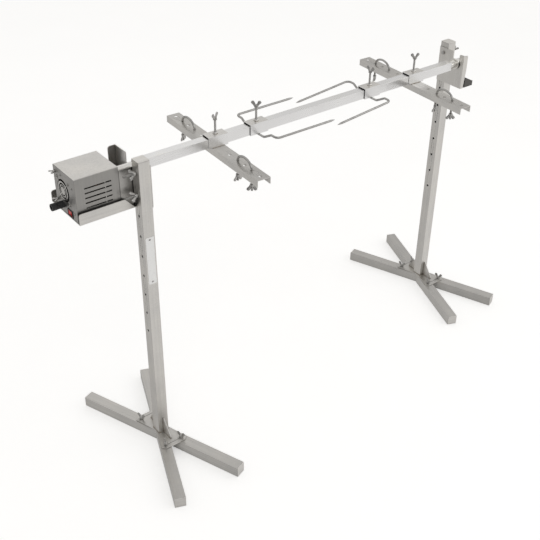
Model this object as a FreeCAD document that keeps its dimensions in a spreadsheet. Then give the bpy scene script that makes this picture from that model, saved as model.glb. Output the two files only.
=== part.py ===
"""Motor-driven spit-roasting stand: two posts on splayed legs, a geared motor, a square spit,
two forks and two carcass clamps.

The origin is on the floor, on the axis of the motor post. +X runs along the spit to the support
post, +Y runs from the post to the far side of the spit, and +Z is up. Millimetres.
"""
import FreeCAD, Part
import math
import os
import Sketcher
from FreeCAD import Placement, Rotation, Vector

doc = FreeCAD.newDocument("spit_stand")
sheet = doc.addObject("Spreadsheet::Sheet", "dims")
FULL_TURN = 360.0
ALONG_X = Rotation(Vector(0, 1, 0), 90)
ALONG_Y = Rotation(Vector(1, 0, 0), -90)
UPRIGHT = Rotation()


class Size:
    """A length that carries its value and the sheet expression that gives it."""

    def __init__(self, value, text):
        self.value = float(value)
        self.text = text

    def __add__(self, other):
        other = as_size(other)
        return Size(self.value + other.value, f"({self.text} + {other.text})")

    def __sub__(self, other):
        other = as_size(other)
        return Size(self.value - other.value, f"({self.text} - {other.text})")

    def __mul__(self, factor):
        factor = as_size(factor)
        return Size(self.value * factor.value, f"({self.text} * {factor.text})")

    def __truediv__(self, divisor):
        return Size(self.value / divisor, f"({self.text} / {float(divisor)!r})")

    def __neg__(self):
        return Size(-self.value, f"(-1 * {self.text})")

    def __radd__(self, other):
        return as_size(other) + self

    def __rsub__(self, other):
        return as_size(other) - self

    def __float__(self):
        return self.value

    __rmul__ = __mul__


def as_size(item):
    if isinstance(item, Size):
        return item
    return Size(item, f"({float(item)!r})")


def size(alias, value, note):
    """Writes one driving dimension in the sheet and returns it."""
    size.row += 1
    sheet.set(f"A{size.row}", note)
    sheet.set(f"B{size.row}", str(value))
    sheet.setAlias(f"B{size.row}", alias)
    return Size(value, f"dims.{alias}")


size.row = 0

# ---- Driving dimensions ----
fit_gap = size("fit_gap", 0.05, "radial clearance of a running or slip fit")
post_side = size("post_side", 40, "square tube of the posts and legs")
tube_wall = size("tube_wall", 2, "wall of the square tube")
post_height = size("post_height", 1150, "floor to the top of a post cap")
post_spacing = size("post_spacing", 1500, "distance between the post axes along the spit")
cap_thickness = size("cap_thickness", 3, "visible thickness of a tube cap")
cap_plug = size("cap_plug", 15, "depth a cap reaches into its tube")
hole_pitch = size("hole_pitch", 75, "pitch of the height holes in a post")
top_hole = size("top_hole", 1107, "height of the top hole in a post")
HOLES_PER_POST = 9
height_hole_radius = size("height_hole_radius", 4.5, "radius of a height hole")

leg_reach = size("leg_reach", 350, "post axis to the end of a leg")
leg_angle = size("leg_angle", 68.8, "angle between a leg and the spit, in degrees")
plate_thickness = size("plate_thickness", 4, "base plate")
plate_half_length = size("plate_half_length", 102, "half length of the base plate across the spit")
plate_half_width = size("plate_half_width", 52, "half width of the base plate at its corners")
plate_waist = size("plate_waist", 22, "half width of the base plate at its waist")
leg_screw_reach = size("leg_screw_reach", 91, "post axis to a leg screw")
gusset_length = size("gusset_length", 50, "gusset along the base plate")
gusset_height = size("gusset_height", 66, "gusset up the post")
gusset_thickness = size("gusset_thickness", 4, "gusset sheet")

spit_side = size("spit_side", 32, "square spit tube")
spit_wall = size("spit_wall", 3, "wall of the spit tube")
spit_height = size("spit_height", 1084, "height of the spit axis")
motor_side_offset = size("motor_side_offset", 88, "motor post axis to the spit axis")
support_side_offset = size("support_side_offset", 68, "support post axis to the spit axis")
spit_start = size("spit_start", 43, "start of the square tube")
spit_end = size("spit_end", 1438, "end of the square tube")
journal_radius = size("journal_radius", 14, "round end of the spit at the motor")
cradle_journal_radius = size("cradle_journal_radius", 16, "round end of the spit in the cradle")
flange_radius = size("flange_radius", 21, "locating flange on a journal")
flange_width = size("flange_width", 5, "locating flange along the spit")
tang_side = size("tang_side", 19, "square driving tang at the end of the spit")

sheet_steel = size("sheet_steel", 3, "bracket sheet")
bracket_bottom = size("bracket_bottom", 984, "underside of both brackets")
bracket_top = size("bracket_top", 1129, "top of a bracket beside its post")
tab_top = size("tab_top", 1125, "top of a bracket's outer tab")
cradle_bottom = size("cradle_bottom", 990, "underside of the cradle bracket")
tray_lip = size("tray_lip", 38, "height of the tray's front and back lips")
tray_reach = size("tray_reach", 213, "motor post axis to the outer end of the tray")
tray_width = size("tray_width", 186, "front to back of the tray")

motor_length = size("motor_length", 147, "motor housing along the spit")
motor_width = size("motor_width", 136, "motor housing across the spit")
motor_top = size("motor_top", 1133, "top of the motor housing")
motor_end = size("motor_end", 212, "motor post axis to the outer end of the housing")
cover_sheet = size("cover_sheet", 1.5, "motor cover sheet")
plate_sheet = size("plate_sheet", 2, "end plate and gear plates")
rotor_y = size("rotor_y", 104, "rotor axis across the spit")
rotor_height = size("rotor_height", 1064, "height of the rotor axis")
fan_opening = size("fan_opening", 37, "radius of the fan opening in the end plate")
shaft_radius = size("shaft_radius", 4, "rotor shaft and countershaft")
output_radius = size("output_radius", 8, "output shaft in the drive plate")
socket_radius = size("socket_radius", 17, "output socket that takes the spit's tang")
gear_module = size("gear_module", 1.5, "module of the gear train")
WHEEL_TEETH = 46
PINION_TEETH = 12

collar_length = size("collar_length", 75, "fork and clamp collars along the spit")
collar_side = size("collar_side", 40, "outside of a collar")
collar_wall = size("collar_wall", 2, "wall of a collar")
thread_radius = size("thread_radius", 4, "wing screws, wing nuts and U bolts")
screw_length = size("screw_length", 54, "shank of a setting screw")
nut_height = size("nut_height", 7, "welded nut on a collar")
clamp_a_start = size("clamp_a_start", 295, "start of the clamp collar nearer the motor")
fork_a_start = size("fork_a_start", 462, "start of the fork collar nearer the motor")
fork_b_start = size("fork_b_start", 979, "start of the fork collar nearer the support")
clamp_b_start = size("clamp_b_start", 1205, "start of the clamp collar nearer the support")
clamp_turn = size("clamp_turn", -2.9, "turn of the clamps in their collar clearance, in degrees")
bar_length = size("bar_length", 570, "clamp channel across the spit")
bar_width = size("bar_width", 50, "clamp channel along the spit")
bar_height = size("bar_height", 24, "clamp channel flange height")
bar_sheet = size("bar_sheet", 2.5, "clamp channel sheet")
bar_hole_pitch = size("bar_hole_pitch", 88, "pitch of the holes along a clamp channel")
u_bolt_spread = size("u_bolt_spread", 82, "distance between the legs of a U bolt")
prong_radius = size("prong_radius", 4, "fork rod")
prong_offset = size("prong_offset", 115, "spit axis to a prong")
prong_reach = size("prong_reach", 252, "bend of a prong to its point")
tip_length = size("tip_length", 24, "pointed end of a prong")
prong_start = size("prong_start", 38, "start of a fork collar to its cross rod")
fork_b_droop = size("fork_b_droop", 5.5, "dip of the prongs nearer the support, in degrees")

support_x = post_spacing
support_y = motor_side_offset + support_side_offset
plate_top = post_side + plate_thickness
nodes = []


# ---- Building blocks ----
def bind(item, name, amount):
    item.setExpression(name, as_size(amount).text)


def put(item, x, y, z, turn=UPRIGHT):
    """Places an object with its position bound to the sheet."""
    item.Placement = Placement(Vector(0, 0, 0), turn)
    bind(item, "Placement.Base.x", x)
    bind(item, "Placement.Base.y", y)
    bind(item, "Placement.Base.z", z)
    return item


def block(x, y, z, length, width, height, turn=UPRIGHT):
    """A box from one corner at x, y, z."""
    item = doc.addObject("Part::Box", "block")
    bind(item, "Length", length)
    bind(item, "Width", width)
    bind(item, "Height", height)
    return put(item, x, y, z, turn)


def rod(x, y, z, radius, length, turn=UPRIGHT):
    """A cylinder from x, y, z along its own axis."""
    item = doc.addObject("Part::Cylinder", "rod")
    bind(item, "Radius", radius)
    bind(item, "Height", length)
    return put(item, x, y, z, turn)


def joined(*items):
    item = doc.addObject("Part::MultiFuse", "joined")
    item.Shapes = list(items)
    item.Refine = True
    return item


def cut(base, *tools):
    item = doc.addObject("Part::Cut", "cut")
    item.Base = base
    item.Tool = tools[0] if len(tools) == 1 else joined(*tools)
    item.Refine = True
    return item


def node(name, item):
    """Names a finished piece; its label is its file name."""
    item.Label = name
    nodes.append(item)
    return item


def shaped(name, shape, place=None):
    """A piece whose shape is made directly from the sheet's values."""
    item = doc.addObject("Part::Feature", "shaped")
    item.Shape = shape
    if place:
        item.Placement = place
    return node(name, item)


def group(name, shapes):
    """Identical separate pieces kept in one node."""
    return shaped(name, Part.Compound(shapes))


def moved(shape, x, y, z, turn=UPRIGHT):
    copy = shape.copy()
    place = Placement(Vector(float(x), float(y), float(z)), turn)
    copy.transformShape(place.toMatrix(), True)
    return copy


def profile(name, corners, thickness, plane="XY_Plane", holes=()):
    """A body: a closed outline of straight sides, with round holes, padded to a thickness."""
    body = doc.addObject("PartDesign::Body", name)
    sketch = body.newObject("Sketcher::SketchObject", "outline")
    support = [item for item in body.Origin.OriginFeatures if item.Role == plane][0]
    sketch.AttachmentSupport = [(support, "")]
    sketch.MapMode = "FlatFace"
    points = [(as_size(x), as_size(y)) for x, y in corners]
    for index, (x, y) in enumerate(points):
        next_x, next_y = points[(index + 1) % len(points)]
        start = Vector(x.value, y.value, 0)
        end = Vector(next_x.value, next_y.value, 0)
        sketch.addGeometry(Part.LineSegment(start, end))
    for index in range(len(points)):
        following = (index + 1) % len(points)
        sketch.addConstraint(Sketcher.Constraint("Coincident", index, 2, following, 1))
    for index, (x, y) in enumerate(points):
        pin_point(sketch, index, 1, x, y)
    for x, y, radius in holes:
        x, y, radius = as_size(x), as_size(y), as_size(radius)
        circle = Part.Circle(Vector(x.value, y.value, 0), Vector(0, 0, 1), radius.value)
        index = sketch.addGeometry(circle)
        constraint = sketch.addConstraint(Sketcher.Constraint("Radius", index, radius.value))
        sketch.setExpression(f"Constraints[{constraint}]", radius.text)
        pin_point(sketch, index, 3, x, y)
    pad = body.newObject("PartDesign::Pad", "sheet")
    pad.Profile = sketch
    bind(pad, "Length", thickness)
    return body


def pin_point(sketch, geometry, vertex, x, y):
    """Holds a sketch point at a place bound to the sheet."""
    for kind, amount in (("DistanceX", x), ("DistanceY", y)):
        constraint = Sketcher.Constraint(kind, -1, 1, geometry, vertex, amount.value)
        index = sketch.addConstraint(constraint)
        sketch.setExpression(f"Constraints[{index}]", amount.text)


# ---- Fasteners ----
WING_HUB_RADIUS = 7.0
WING_HUB_HEIGHT = 10.0
WING_LENGTH = 18.0
WING_TIP_RADIUS = 4.0
WING_SHEET = 4.0
WING_RISE = 57.0
SCREW_GRIP = 20.0


def wing_head(bore_radius=0.0):
    """A wing grip on its hub: the hub stands on the origin and the wings rise along +Z."""
    solid = Part.makeCone(WING_HUB_RADIUS, WING_HUB_RADIUS - 1.5, WING_HUB_HEIGHT)
    for side in (0, 180):
        root = Vector(0, -WING_SHEET / 2, -WING_TIP_RADIUS)
        wing = Part.makeBox(WING_LENGTH, WING_SHEET, 2 * WING_TIP_RADIUS, root)
        end = Vector(WING_LENGTH, -WING_SHEET / 2, 0)
        tip = Part.makeCylinder(WING_TIP_RADIUS, WING_SHEET, end, Vector(0, 1, 0))
        ear = wing.fuse(tip)
        ear.rotate(Vector(0, 0, 0), Vector(0, 1, 0), -WING_RISE)
        ear.translate(Vector(3.0, 0, WING_HUB_HEIGHT / 2))
        ear.rotate(Vector(0, 0, 0), Vector(0, 0, 1), side)
        solid = solid.fuse(ear)
    if bore_radius:
        reach = WING_HUB_HEIGHT + WING_LENGTH + WING_TIP_RADIUS
        solid = solid.cut(Part.makeCylinder(bore_radius, reach, Vector(0, 0, -1)))
    return solid.removeSplitter()


def wing_screw(length):
    """A wing screw whose tip is at the origin and whose shank rises along +Z."""
    chamfer = 1.0
    radius = thread_radius.value
    tip = Part.makeCone(radius - chamfer, radius, chamfer)
    shank = Part.makeCylinder(radius, length - chamfer, Vector(0, 0, chamfer))
    head = wing_head()
    head.translate(Vector(0, 0, length))
    return tip.fuse(shank).fuse(head).removeSplitter()


def hexagon(radius, height):
    """A hexagonal prism on the origin; radius runs to its corners."""
    corners = []
    for index in range(7):
        angle = math.radians(60 * index)
        corners.append(Vector(radius * math.cos(angle), radius * math.sin(angle), 0))
    return Part.Face(Part.makePolygon(corners)).extrude(Vector(0, 0, height))


def pan_screw(radius, length):
    """A small screw: its domed head stands on the origin and its shank goes along -Z."""
    head = Part.makeCylinder(radius * 1.9, radius * 0.7)
    crown = Part.makeCone(radius * 1.9, radius * 1.1, radius * 0.5, Vector(0, 0, radius * 0.7))
    shank = Part.makeCylinder(radius, length, Vector(0, 0, -length))
    return head.fuse(crown).fuse(shank).removeSplitter()


# ---- Stands ----
def stand_places():
    """Both stands: name, place along the spit, place across it and the side its bracket is on."""
    return (("motor", as_size(0), as_size(0)), ("support", support_x, support_y))


def build_post(name, x, y):
    half = post_side / 2
    inner = post_side - 2 * tube_wall
    height = post_height - cap_thickness - plate_top
    outside = block(x - half, y - half, plate_top, post_side, post_side, height)
    start = plate_top - 1
    inside = block(x - half + tube_wall, y - half + tube_wall, start, inner, inner, height + 2)
    drills = []
    for index in range(HOLES_PER_POST):
        level = top_hole - index * hole_pitch
        drill = rod(x - half - 1, y, level, height_hole_radius, post_side + 2, ALONG_X)
        drills.append(drill)
    node(f"{name}_post", cut(outside, inside, *drills))


def base_outline():
    """The waisted outline of a base plate, which covers the four legs near the post."""
    corner = 12.0
    outline = [(plate_waist, as_size(0))]
    outline += [(plate_half_width, plate_half_length - corner)]
    outline += [(plate_half_width - corner, plate_half_length)]
    outline += [(corner - plate_half_width, plate_half_length)]
    outline += [(-plate_half_width, plate_half_length - corner)]
    outline += [(-plate_waist, as_size(0))]
    outline += [(-plate_half_width, corner - plate_half_length)]
    outline += [(corner - plate_half_width, -plate_half_length)]
    outline += [(plate_half_width - corner, -plate_half_length)]
    outline += [(plate_half_width, corner - plate_half_length)]
    return outline


def leg_directions():
    """Angle of each leg from the spit direction, by name."""
    angle = leg_angle.value
    return {
        "left": 180 - angle,
        "right": -angle,
        "front": angle - 180,
        "back": angle,
    }


def screw_places():
    """Where the leg screws stand, relative to the post axis."""
    places = []
    for angle in leg_directions().values():
        radians = math.radians(angle)
        reach = leg_screw_reach.value
        places.append((reach * math.cos(radians), reach * math.sin(radians)))
    return places


def build_base_plates():
    holes = [(px, py, thread_radius + fit_gap) for px, py in screw_places()]
    plate = profile("base_plate", base_outline(), plate_thickness, holes=holes)
    doc.recompute()
    copies = [moved(plate.Shape, x, y, post_side) for name, x, y in stand_places()]
    group("base_plates", copies)


def leg_shape(angle, gap):
    """One leg along +X from its mitre to its cap, before it is turned to its angle.

    gap is the half angle between this leg and each neighbour, as (before, after).
    """
    side = post_side.value
    wall = tube_wall.value
    reach = leg_reach.value - cap_thickness.value
    outside = Part.makeBox(reach, side, side, Vector(0, -side / 2, 0))
    inner = side - 2 * wall
    inside = Part.makeBox(reach + 2, inner, inner, Vector(-1, -inner / 2, wall))
    leg = outside.cut(inside)
    clear = side * 2
    for half_gap, turn in zip(gap, (-1, 1)):
        wedge = Part.makeBox(2 * clear, clear, 2 * clear, Vector(-clear, 0, -clear / 2))
        wedge.translate(Vector(0, -fit_gap.value, 0))
        if turn < 0:
            wedge = wedge.mirror(Vector(0, 0, 0), Vector(0, 1, 0))
        wedge.rotate(Vector(0, 0, 0), Vector(0, 0, 1), turn * half_gap)
        leg = leg.cut(wedge)
    drill = Part.makeCylinder(thread_radius.value + fit_gap.value, wall + 2)
    drill.translate(Vector(leg_screw_reach.value, 0, side - wall - 1))
    return leg.cut(drill)


def build_legs(name, x, y):
    narrow = 90 - leg_angle.value
    wide = leg_angle.value
    gaps = {"left": (narrow, wide), "right": (narrow, wide)}
    gaps.update({"front": (wide, narrow), "back": (wide, narrow)})
    for leg, angle in leg_directions().items():
        turn = Rotation(Vector(0, 0, 1), angle)
        place = Placement(Vector(x.value, y.value, 0), turn)
        shaped(f"{name}_leg_{leg}", leg_shape(angle, gaps[leg]), place)


def tube_cap(side, wall):
    """A cap on the origin: its plug goes along -Z and its head rises along +Z."""
    head = Part.makeBox(side, side, cap_thickness.value, Vector(-side / 2, -side / 2, 0))
    plug_side = side - 2 * wall - 2 * fit_gap.value
    corner = Vector(-plug_side / 2, -plug_side / 2, -cap_plug.value)
    plug = Part.makeBox(plug_side, plug_side, cap_plug.value, corner)
    return head.fuse(plug).removeSplitter()


def build_caps():
    cap = tube_cap(post_side.value, tube_wall.value)
    caps = []
    for name, x, y in stand_places():
        caps.append(moved(cap, x, y, post_height - cap_thickness))
        for angle in leg_directions().values():
            facing = Rotation(Vector(0, 0, 1), angle)
            reach = leg_reach.value - cap_thickness.value
            end = facing.multVec(Vector(reach, 0, post_side.value / 2))
            caps.append(moved(cap, x + end.x, y + end.y, end.z, facing * ALONG_X))
    group("tube_caps", caps)


def build_gussets():
    half = gusset_thickness.value / 2
    bottom = Vector(-half, 0, 0)
    foot = Vector(-half, gusset_length.value, 0)
    toe = Vector(-half, gusset_length.value, 6)
    top = Vector(-half, 6, gusset_height.value)
    heel = Vector(-half, 0, gusset_height.value)
    face = Part.Face(Part.makePolygon([bottom, foot, toe, top, heel, bottom]))
    gusset = face.extrude(Vector(2 * half, 0, 0))
    ribs = []
    for name, x, y in stand_places():
        far_face = y + post_side / 2
        near_face = y - post_side / 2
        ribs.append(moved(gusset, x, far_face, plate_top))
        ribs.append(moved(gusset, x, near_face, plate_top, Rotation(Vector(0, 0, 1), 180)))
    group("base_gussets", ribs)


def leg_screws():
    """A wing screw over each leg, with its head on the base plate and its tip in the tube."""
    screw = wing_screw(SCREW_GRIP)
    screws = []
    for name, x, y in stand_places():
        for px, py in screw_places():
            facing = Rotation(Vector(0, 0, 1), math.degrees(math.atan2(py, px)))
            screws.append(moved(screw, x + px, y + py, plate_top - SCREW_GRIP, facing))
    return screws


for stand, stand_x, stand_y in stand_places():
    build_post(stand, stand_x, stand_y)
    build_legs(stand, stand_x, stand_y)
build_base_plates()
build_caps()
build_gussets()


# ---- Brackets ----
def bracket_window(x, y, radius):
    """The U opening of a bracket plate: round at the bottom and open at the top."""
    slot = block(x - 1, y - radius, spit_height, sheet_steel + 2, radius * 2, 100)
    seat = rod(x - 1, y, spit_height, radius, sheet_steel + 2, ALONG_X)
    return joined(slot, seat)


def bolt_drills(x, y):
    """The two bolt holes of a bracket plate, one hole pitch apart."""
    drills = []
    for index in range(2):
        level = top_hole - index * hole_pitch
        drills.append(rod(x - 1, y, level, thread_radius + fit_gap, sheet_steel + 2, ALONG_X))
    return drills


def lip_shape(corners, thickness, place_y, round_at=(), radius=9.0):
    """A sheet lip in the XZ plane from its outline, at place_y.

    round_at lists the corners of the outline that are rounded.
    """
    points = [Vector(float(x), 0, float(z)) for x, z in corners]
    sheet = Part.Face(Part.makePolygon(points + points[:1])).extrude(Vector(0, thickness, 0))
    across = []
    for edge in sheet.Edges:
        first, last = edge.Vertexes[0].Point, edge.Vertexes[-1].Point
        is_across = abs(first.x - last.x) + abs(first.z - last.z) < 1e-6
        at_corner = [first.distanceToPoint(points[index]) < thickness + 1e-6 for index in round_at]
        if is_across and any(at_corner):
            across.append(edge)
    if across:
        sheet = sheet.makeFillet(radius, across)
    lip = doc.addObject("Part::Feature", "lip")
    lip.Shape = sheet
    lip.Placement = Placement(Vector(0, float(place_y), 0), UPRIGHT)
    return lip


def build_motor_bracket():
    """The motor bracket: an upright plate behind the post and a lipped tray for the motor."""
    plate_x = post_side / 2
    near = -post_side / 2
    tray_front = post_side / 2 - 6.5
    far = tray_front + tray_width
    window_radius = as_size(43)
    tab_drop = 12
    tab_width = far - motor_side_offset - window_radius
    plate = block(plate_x, near, bracket_bottom, sheet_steel, far - near, bracket_top - bracket_bottom)
    window = bracket_window(plate_x, motor_side_offset, window_radius)
    lowered = block(plate_x - 1, far - tab_width - 1, tab_top - tab_drop,
                    sheet_steel + 2, tab_width + 2, 2 * tab_drop + 16)
    plate = cut(plate, window, lowered, *bolt_drills(plate_x, as_size(0)))
    tray_length = tray_reach + plate_x
    tray = block(-tray_reach, tray_front, bracket_bottom, tray_length, tray_width, sheet_steel)
    post_room = post_side / 2 + 0.5
    notch = block(-post_room, tray_front - 1, bracket_bottom - 1,
                  post_room + plate_x, post_room - tray_front + 1, sheet_steel + 2)
    tray = cut(tray, notch)
    top = bracket_bottom + tray_lip
    front = [(-tray_reach, bracket_bottom), (-tray_reach, top), (-56, top), (-22, bracket_bottom)]
    back = [(-tray_reach, bracket_bottom), (-tray_reach, top), (-34, top), (-6, top + 30)]
    back += [(-6, tab_top - tab_drop), (plate_x, tab_top - tab_drop), (plate_x, bracket_bottom)]
    thickness = sheet_steel.value
    front_lip = lip_shape(front, thickness, tray_front, round_at=(1, 2))
    back_lip = lip_shape(back, thickness, far - sheet_steel, round_at=(1, 2, 3, 4))
    node("motor_bracket", joined(plate, tray, front_lip, back_lip))


def build_cradle_bracket():
    """The cradle bracket: an upright plate with a U seat for the spit and a folded outer edge."""
    plate_x = support_x - post_side / 2 - sheet_steel
    far = support_y + post_side / 2
    near = support_y - 108
    seat_radius = cradle_journal_radius + 1
    seat_height = spit_height + 1 - fit_gap
    plate = block(plate_x, near, cradle_bottom, sheet_steel, far - near, bracket_top - cradle_bottom)
    slot = block(plate_x - 1, motor_side_offset - seat_radius, seat_height,
                 sheet_steel + 2, seat_radius * 2, 100)
    seat = rod(plate_x - 1, motor_side_offset, seat_height, seat_radius, sheet_steel + 2, ALONG_X)
    tab_width = motor_side_offset - seat_radius - near
    corner = 7
    shoulder = tab_top - corner
    above = block(plate_x - 1, near - 1, shoulder, 5, tab_width + 1, 60)
    plate = cut(plate, slot, seat, above, *bolt_drills(plate_x, support_y))
    crown = block(plate_x, near, shoulder, sheet_steel, tab_width - corner, corner)
    rounding = rod(plate_x, near + tab_width - corner, shoulder, corner, sheet_steel, ALONG_X)
    left = plate_x.value
    right = left + 23
    flange = [(left, cradle_bottom), (left, tab_top - 2), (right, tab_top - 2)]
    flange += [(right, 1060), (right - 8, cradle_bottom)]
    side = lip_shape(flange, sheet_steel.value, near, round_at=(1, 2), radius=7.0)
    node("cradle_bracket", joined(plate, crown, rounding, side))


def build_cradle_shelf():
    """The dark shelf behind the cradle bracket, with a sloping side that widens to the plate."""
    left = support_x - post_side / 2
    right = 1547.0
    near = support_y - 108
    edge = left + 20.05
    width = 84.0
    thickness = sheet_steel.value
    floor = block(left, near + sheet_steel + fit_gap, cradle_bottom, right - left, width, thickness)
    side = [(edge, cradle_bottom), (edge, cradle_bottom + 39), (right, cradle_bottom + 19)]
    side += [(right, cradle_bottom)]
    lip = lip_shape(side, thickness + 1, near)
    end = block(right - thickness, near, cradle_bottom, thickness, width, 19)
    node("cradle_shelf", joined(floor, lip, end))


BOLT_LENGTH = 86.0
BOLT_HEAD = 5.3


def bracket_bolt():
    """A hexagon bolt: head below the origin, shank along +Z."""
    head = hexagon(7.5, BOLT_HEAD)
    head.translate(Vector(0, 0, -BOLT_HEAD))
    return head.fuse(Part.makeCylinder(thread_radius.value, BOLT_LENGTH)).removeSplitter()


def build_bracket_fasteners():
    """The motor bracket's bolts point to -X and the cradle bracket's to +X."""
    to_left = Rotation(Vector(0, 1, 0), -90)
    left_face = post_side / 2 + sheet_steel
    right_face = support_x - post_side / 2 - sheet_steel
    grip = post_side + sheet_steel
    bolts = []
    nuts = []
    nut = wing_head(thread_radius.value + fit_gap.value)
    for index in range(2):
        level = top_hole - index * hole_pitch
        bolts.append(moved(bracket_bolt(), left_face, 0, level, to_left))
        nuts.append(moved(nut, left_face - grip, 0, level, to_left))
        bolts.append(moved(bracket_bolt(), right_face, support_y, level, ALONG_X))
        nuts.append(moved(nut, right_face + grip, support_y, level, ALONG_X))
    group("bracket_bolts", bolts)
    group("bracket_wing_nuts", nuts)


LABEL_WIDTH = 30.0
LABEL_BOTTOM = 704.0
LABEL_HEIGHT = 178.0
LABEL_SHEET = 1.0


def build_label():
    """A blank plate riveted to the front of the motor post."""
    face = -post_side / 2
    plate = block(-LABEL_WIDTH / 2, face - LABEL_SHEET, LABEL_BOTTOM,
                  LABEL_WIDTH, LABEL_SHEET, LABEL_HEIGHT)
    inset = 9.0
    levels = (LABEL_BOTTOM + inset, LABEL_BOTTOM + LABEL_HEIGHT - inset)
    drills = [rod(0, face - LABEL_SHEET - 1, level, 2, LABEL_SHEET + 2, ALONG_Y) for level in levels]
    node("label_plate", cut(plate, *drills))
    rivets = []
    to_front = Rotation(Vector(1, 0, 0), 90)
    for level in levels:
        head = Part.makeCone(3.5, 2.0, 1.5)
        shank = Part.makeCylinder(1.95, LABEL_SHEET, Vector(0, 0, -LABEL_SHEET))
        rivets.append(moved(head.fuse(shank), 0, face - LABEL_SHEET, level, to_front))
    group("label_rivets", rivets)


build_motor_bracket()
build_cradle_bracket()
build_cradle_shelf()
build_bracket_fasteners()
build_label()


# ---- Motor housing ----
housing_left = -motor_end
housing_right = motor_length - motor_end
housing_front = post_side / 2 + 4
housing_back = housing_front + motor_width
housing_bottom = bracket_bottom + sheet_steel + fit_gap
inside_front = housing_front + cover_sheet
inside_back = housing_back - cover_sheet
inside_top = motor_top - cover_sheet
GLAND_Y = 120.0
GLAND_Z = 1011.0
GLAND_RADIUS = 12.0
GLAND_LENGTH = 40.0
GLAND_THREAD = 9.0
SWITCH_Y = 72.0
SWITCH_Z = 1001.0
SWITCH_WIDTH = 28.0
SWITCH_HEIGHT = 20.0
SLOT_COUNT = 5
SLOT_START = -181.0
SLOT_LENGTH = 90.0
SLOT_HEIGHT = 4.5
SLOT_TOP = 1093.0
SLOT_PITCH = 16.4


GUARD_SHEET = 1.6
GUARD_SCREW_REACH = 35.75
EDGE_SCREWS = [(44.0, 1096.0), (44.0, 1010.0), (114.0, 1113.0)]
WING_SCREWS = [(150.0, 1112.0), (150.0, 1017.0)]
WING_SCREW_SHARE = 0.7


def build_cover():
    """The folded cover: a top and two sides, with cooling slots in both sides."""
    height = motor_top - housing_bottom
    outside = block(housing_left, housing_front, housing_bottom, motor_length, motor_width, height)
    rounded = doc.addObject("Part::Fillet", "rounded")
    rounded.Base = outside
    doc.recompute()
    bend = 4.0
    edges = []
    for index, edge in enumerate(outside.Shape.Edges, start=1):
        along = edge.Length == outside.Length.Value
        if along and edge.BoundBox.ZMin > motor_top.value - 1:
            edges.append((index, bend, bend))
    rounded.Edges = edges
    width = inside_back - inside_front
    inside = block(housing_left - 1, inside_front, housing_bottom - 1,
                   motor_length + 2, width, inside_top - housing_bottom + 1)
    slots = []
    for index in range(SLOT_COUNT):
        level = SLOT_TOP - index * SLOT_PITCH
        slots.append(block(SLOT_START, housing_front - 1, level,
                           SLOT_LENGTH, motor_width + 2, SLOT_HEIGHT))
    node("motor_cover", cut(rounded, inside, *slots))


def inner_plate(x):
    """A plate that fits inside the cover with its left face at x."""
    width = inside_back - inside_front - fit_gap * 2
    height = inside_top - housing_bottom - fit_gap
    return block(x, inside_front + fit_gap, housing_bottom, plate_sheet, width, height)


def guard_screw_places():
    """The four screws around the fan opening, as y and z."""
    reach = GUARD_SCREW_REACH
    places = []
    for side in (-1, 1):
        for level in (-1, 1):
            places.append((rotor_y + side * reach, rotor_height + level * reach))
    return places


def corner_places():
    """The four pillars between the gear plate and the drive plate, as y and z."""
    inset = 9.0
    sides = (inside_front + inset, inside_back - inset)
    levels = (housing_bottom + inset, inside_top - inset)
    return [(side, level) for side in sides for level in levels]


def build_end_plate():
    x = housing_left
    cuts = [rod(x - 1, rotor_y, rotor_height, fan_opening, 4, ALONG_X)]
    cuts.append(block(x - 1, SWITCH_Y - SWITCH_WIDTH / 2, SWITCH_Z - SWITCH_HEIGHT / 2,
                      4, SWITCH_WIDTH, SWITCH_HEIGHT))
    cuts.append(rod(x - 1, GLAND_Y, GLAND_Z, GLAND_THREAD + 0.1, 4, ALONG_X))
    for y, z in guard_screw_places() + EDGE_SCREWS:
        cuts.append(rod(x - 1, y, z, 2.1, 4, ALONG_X))
    for y, z in WING_SCREWS:
        cuts.append(rod(x - 1, y, z, thread_radius * WING_SCREW_SHARE + fit_gap, 4, ALONG_X))
    node("motor_end_plate", cut(inner_plate(x), *cuts))


def build_fan_guard():
    """A wire-style guard over the fan opening: rings, spokes, a hub disc and four lugs."""
    rings = ((31.5, 26.0), (20.5, 17.5), (13.0, 0.0))
    solid = None
    for outer, inner in rings:
        ring = Part.makeCylinder(outer, GUARD_SHEET)
        if inner:
            ring = ring.cut(Part.makeCylinder(inner, GUARD_SHEET))
        solid = ring if solid is None else solid.fuse(ring)
    reach = GUARD_SCREW_REACH * math.sqrt(2)
    for index in range(4):
        spoke = Part.makeBox(reach, 2.4, GUARD_SHEET, Vector(0, -1.2, 0))
        lug = Part.makeCylinder(4.5, GUARD_SHEET, Vector(reach, 0, 0))
        arm = spoke.fuse(lug)
        arm.rotate(Vector(0, 0, 0), Vector(0, 0, 1), 45 + 90 * index)
        solid = solid.fuse(arm)
    for index in range(4):
        angle = math.radians(45 + 90 * index)
        centre = Vector(reach * math.cos(angle), reach * math.sin(angle), -1)
        solid = solid.cut(Part.makeCylinder(2.1, GUARD_SHEET + 2, centre))
    to_left = Rotation(Vector(0, 1, 0), -90)
    place = Placement(Vector(housing_left.value, rotor_y.value, rotor_height.value), to_left)
    shaped("fan_guard", solid.removeSplitter(), place)


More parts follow.
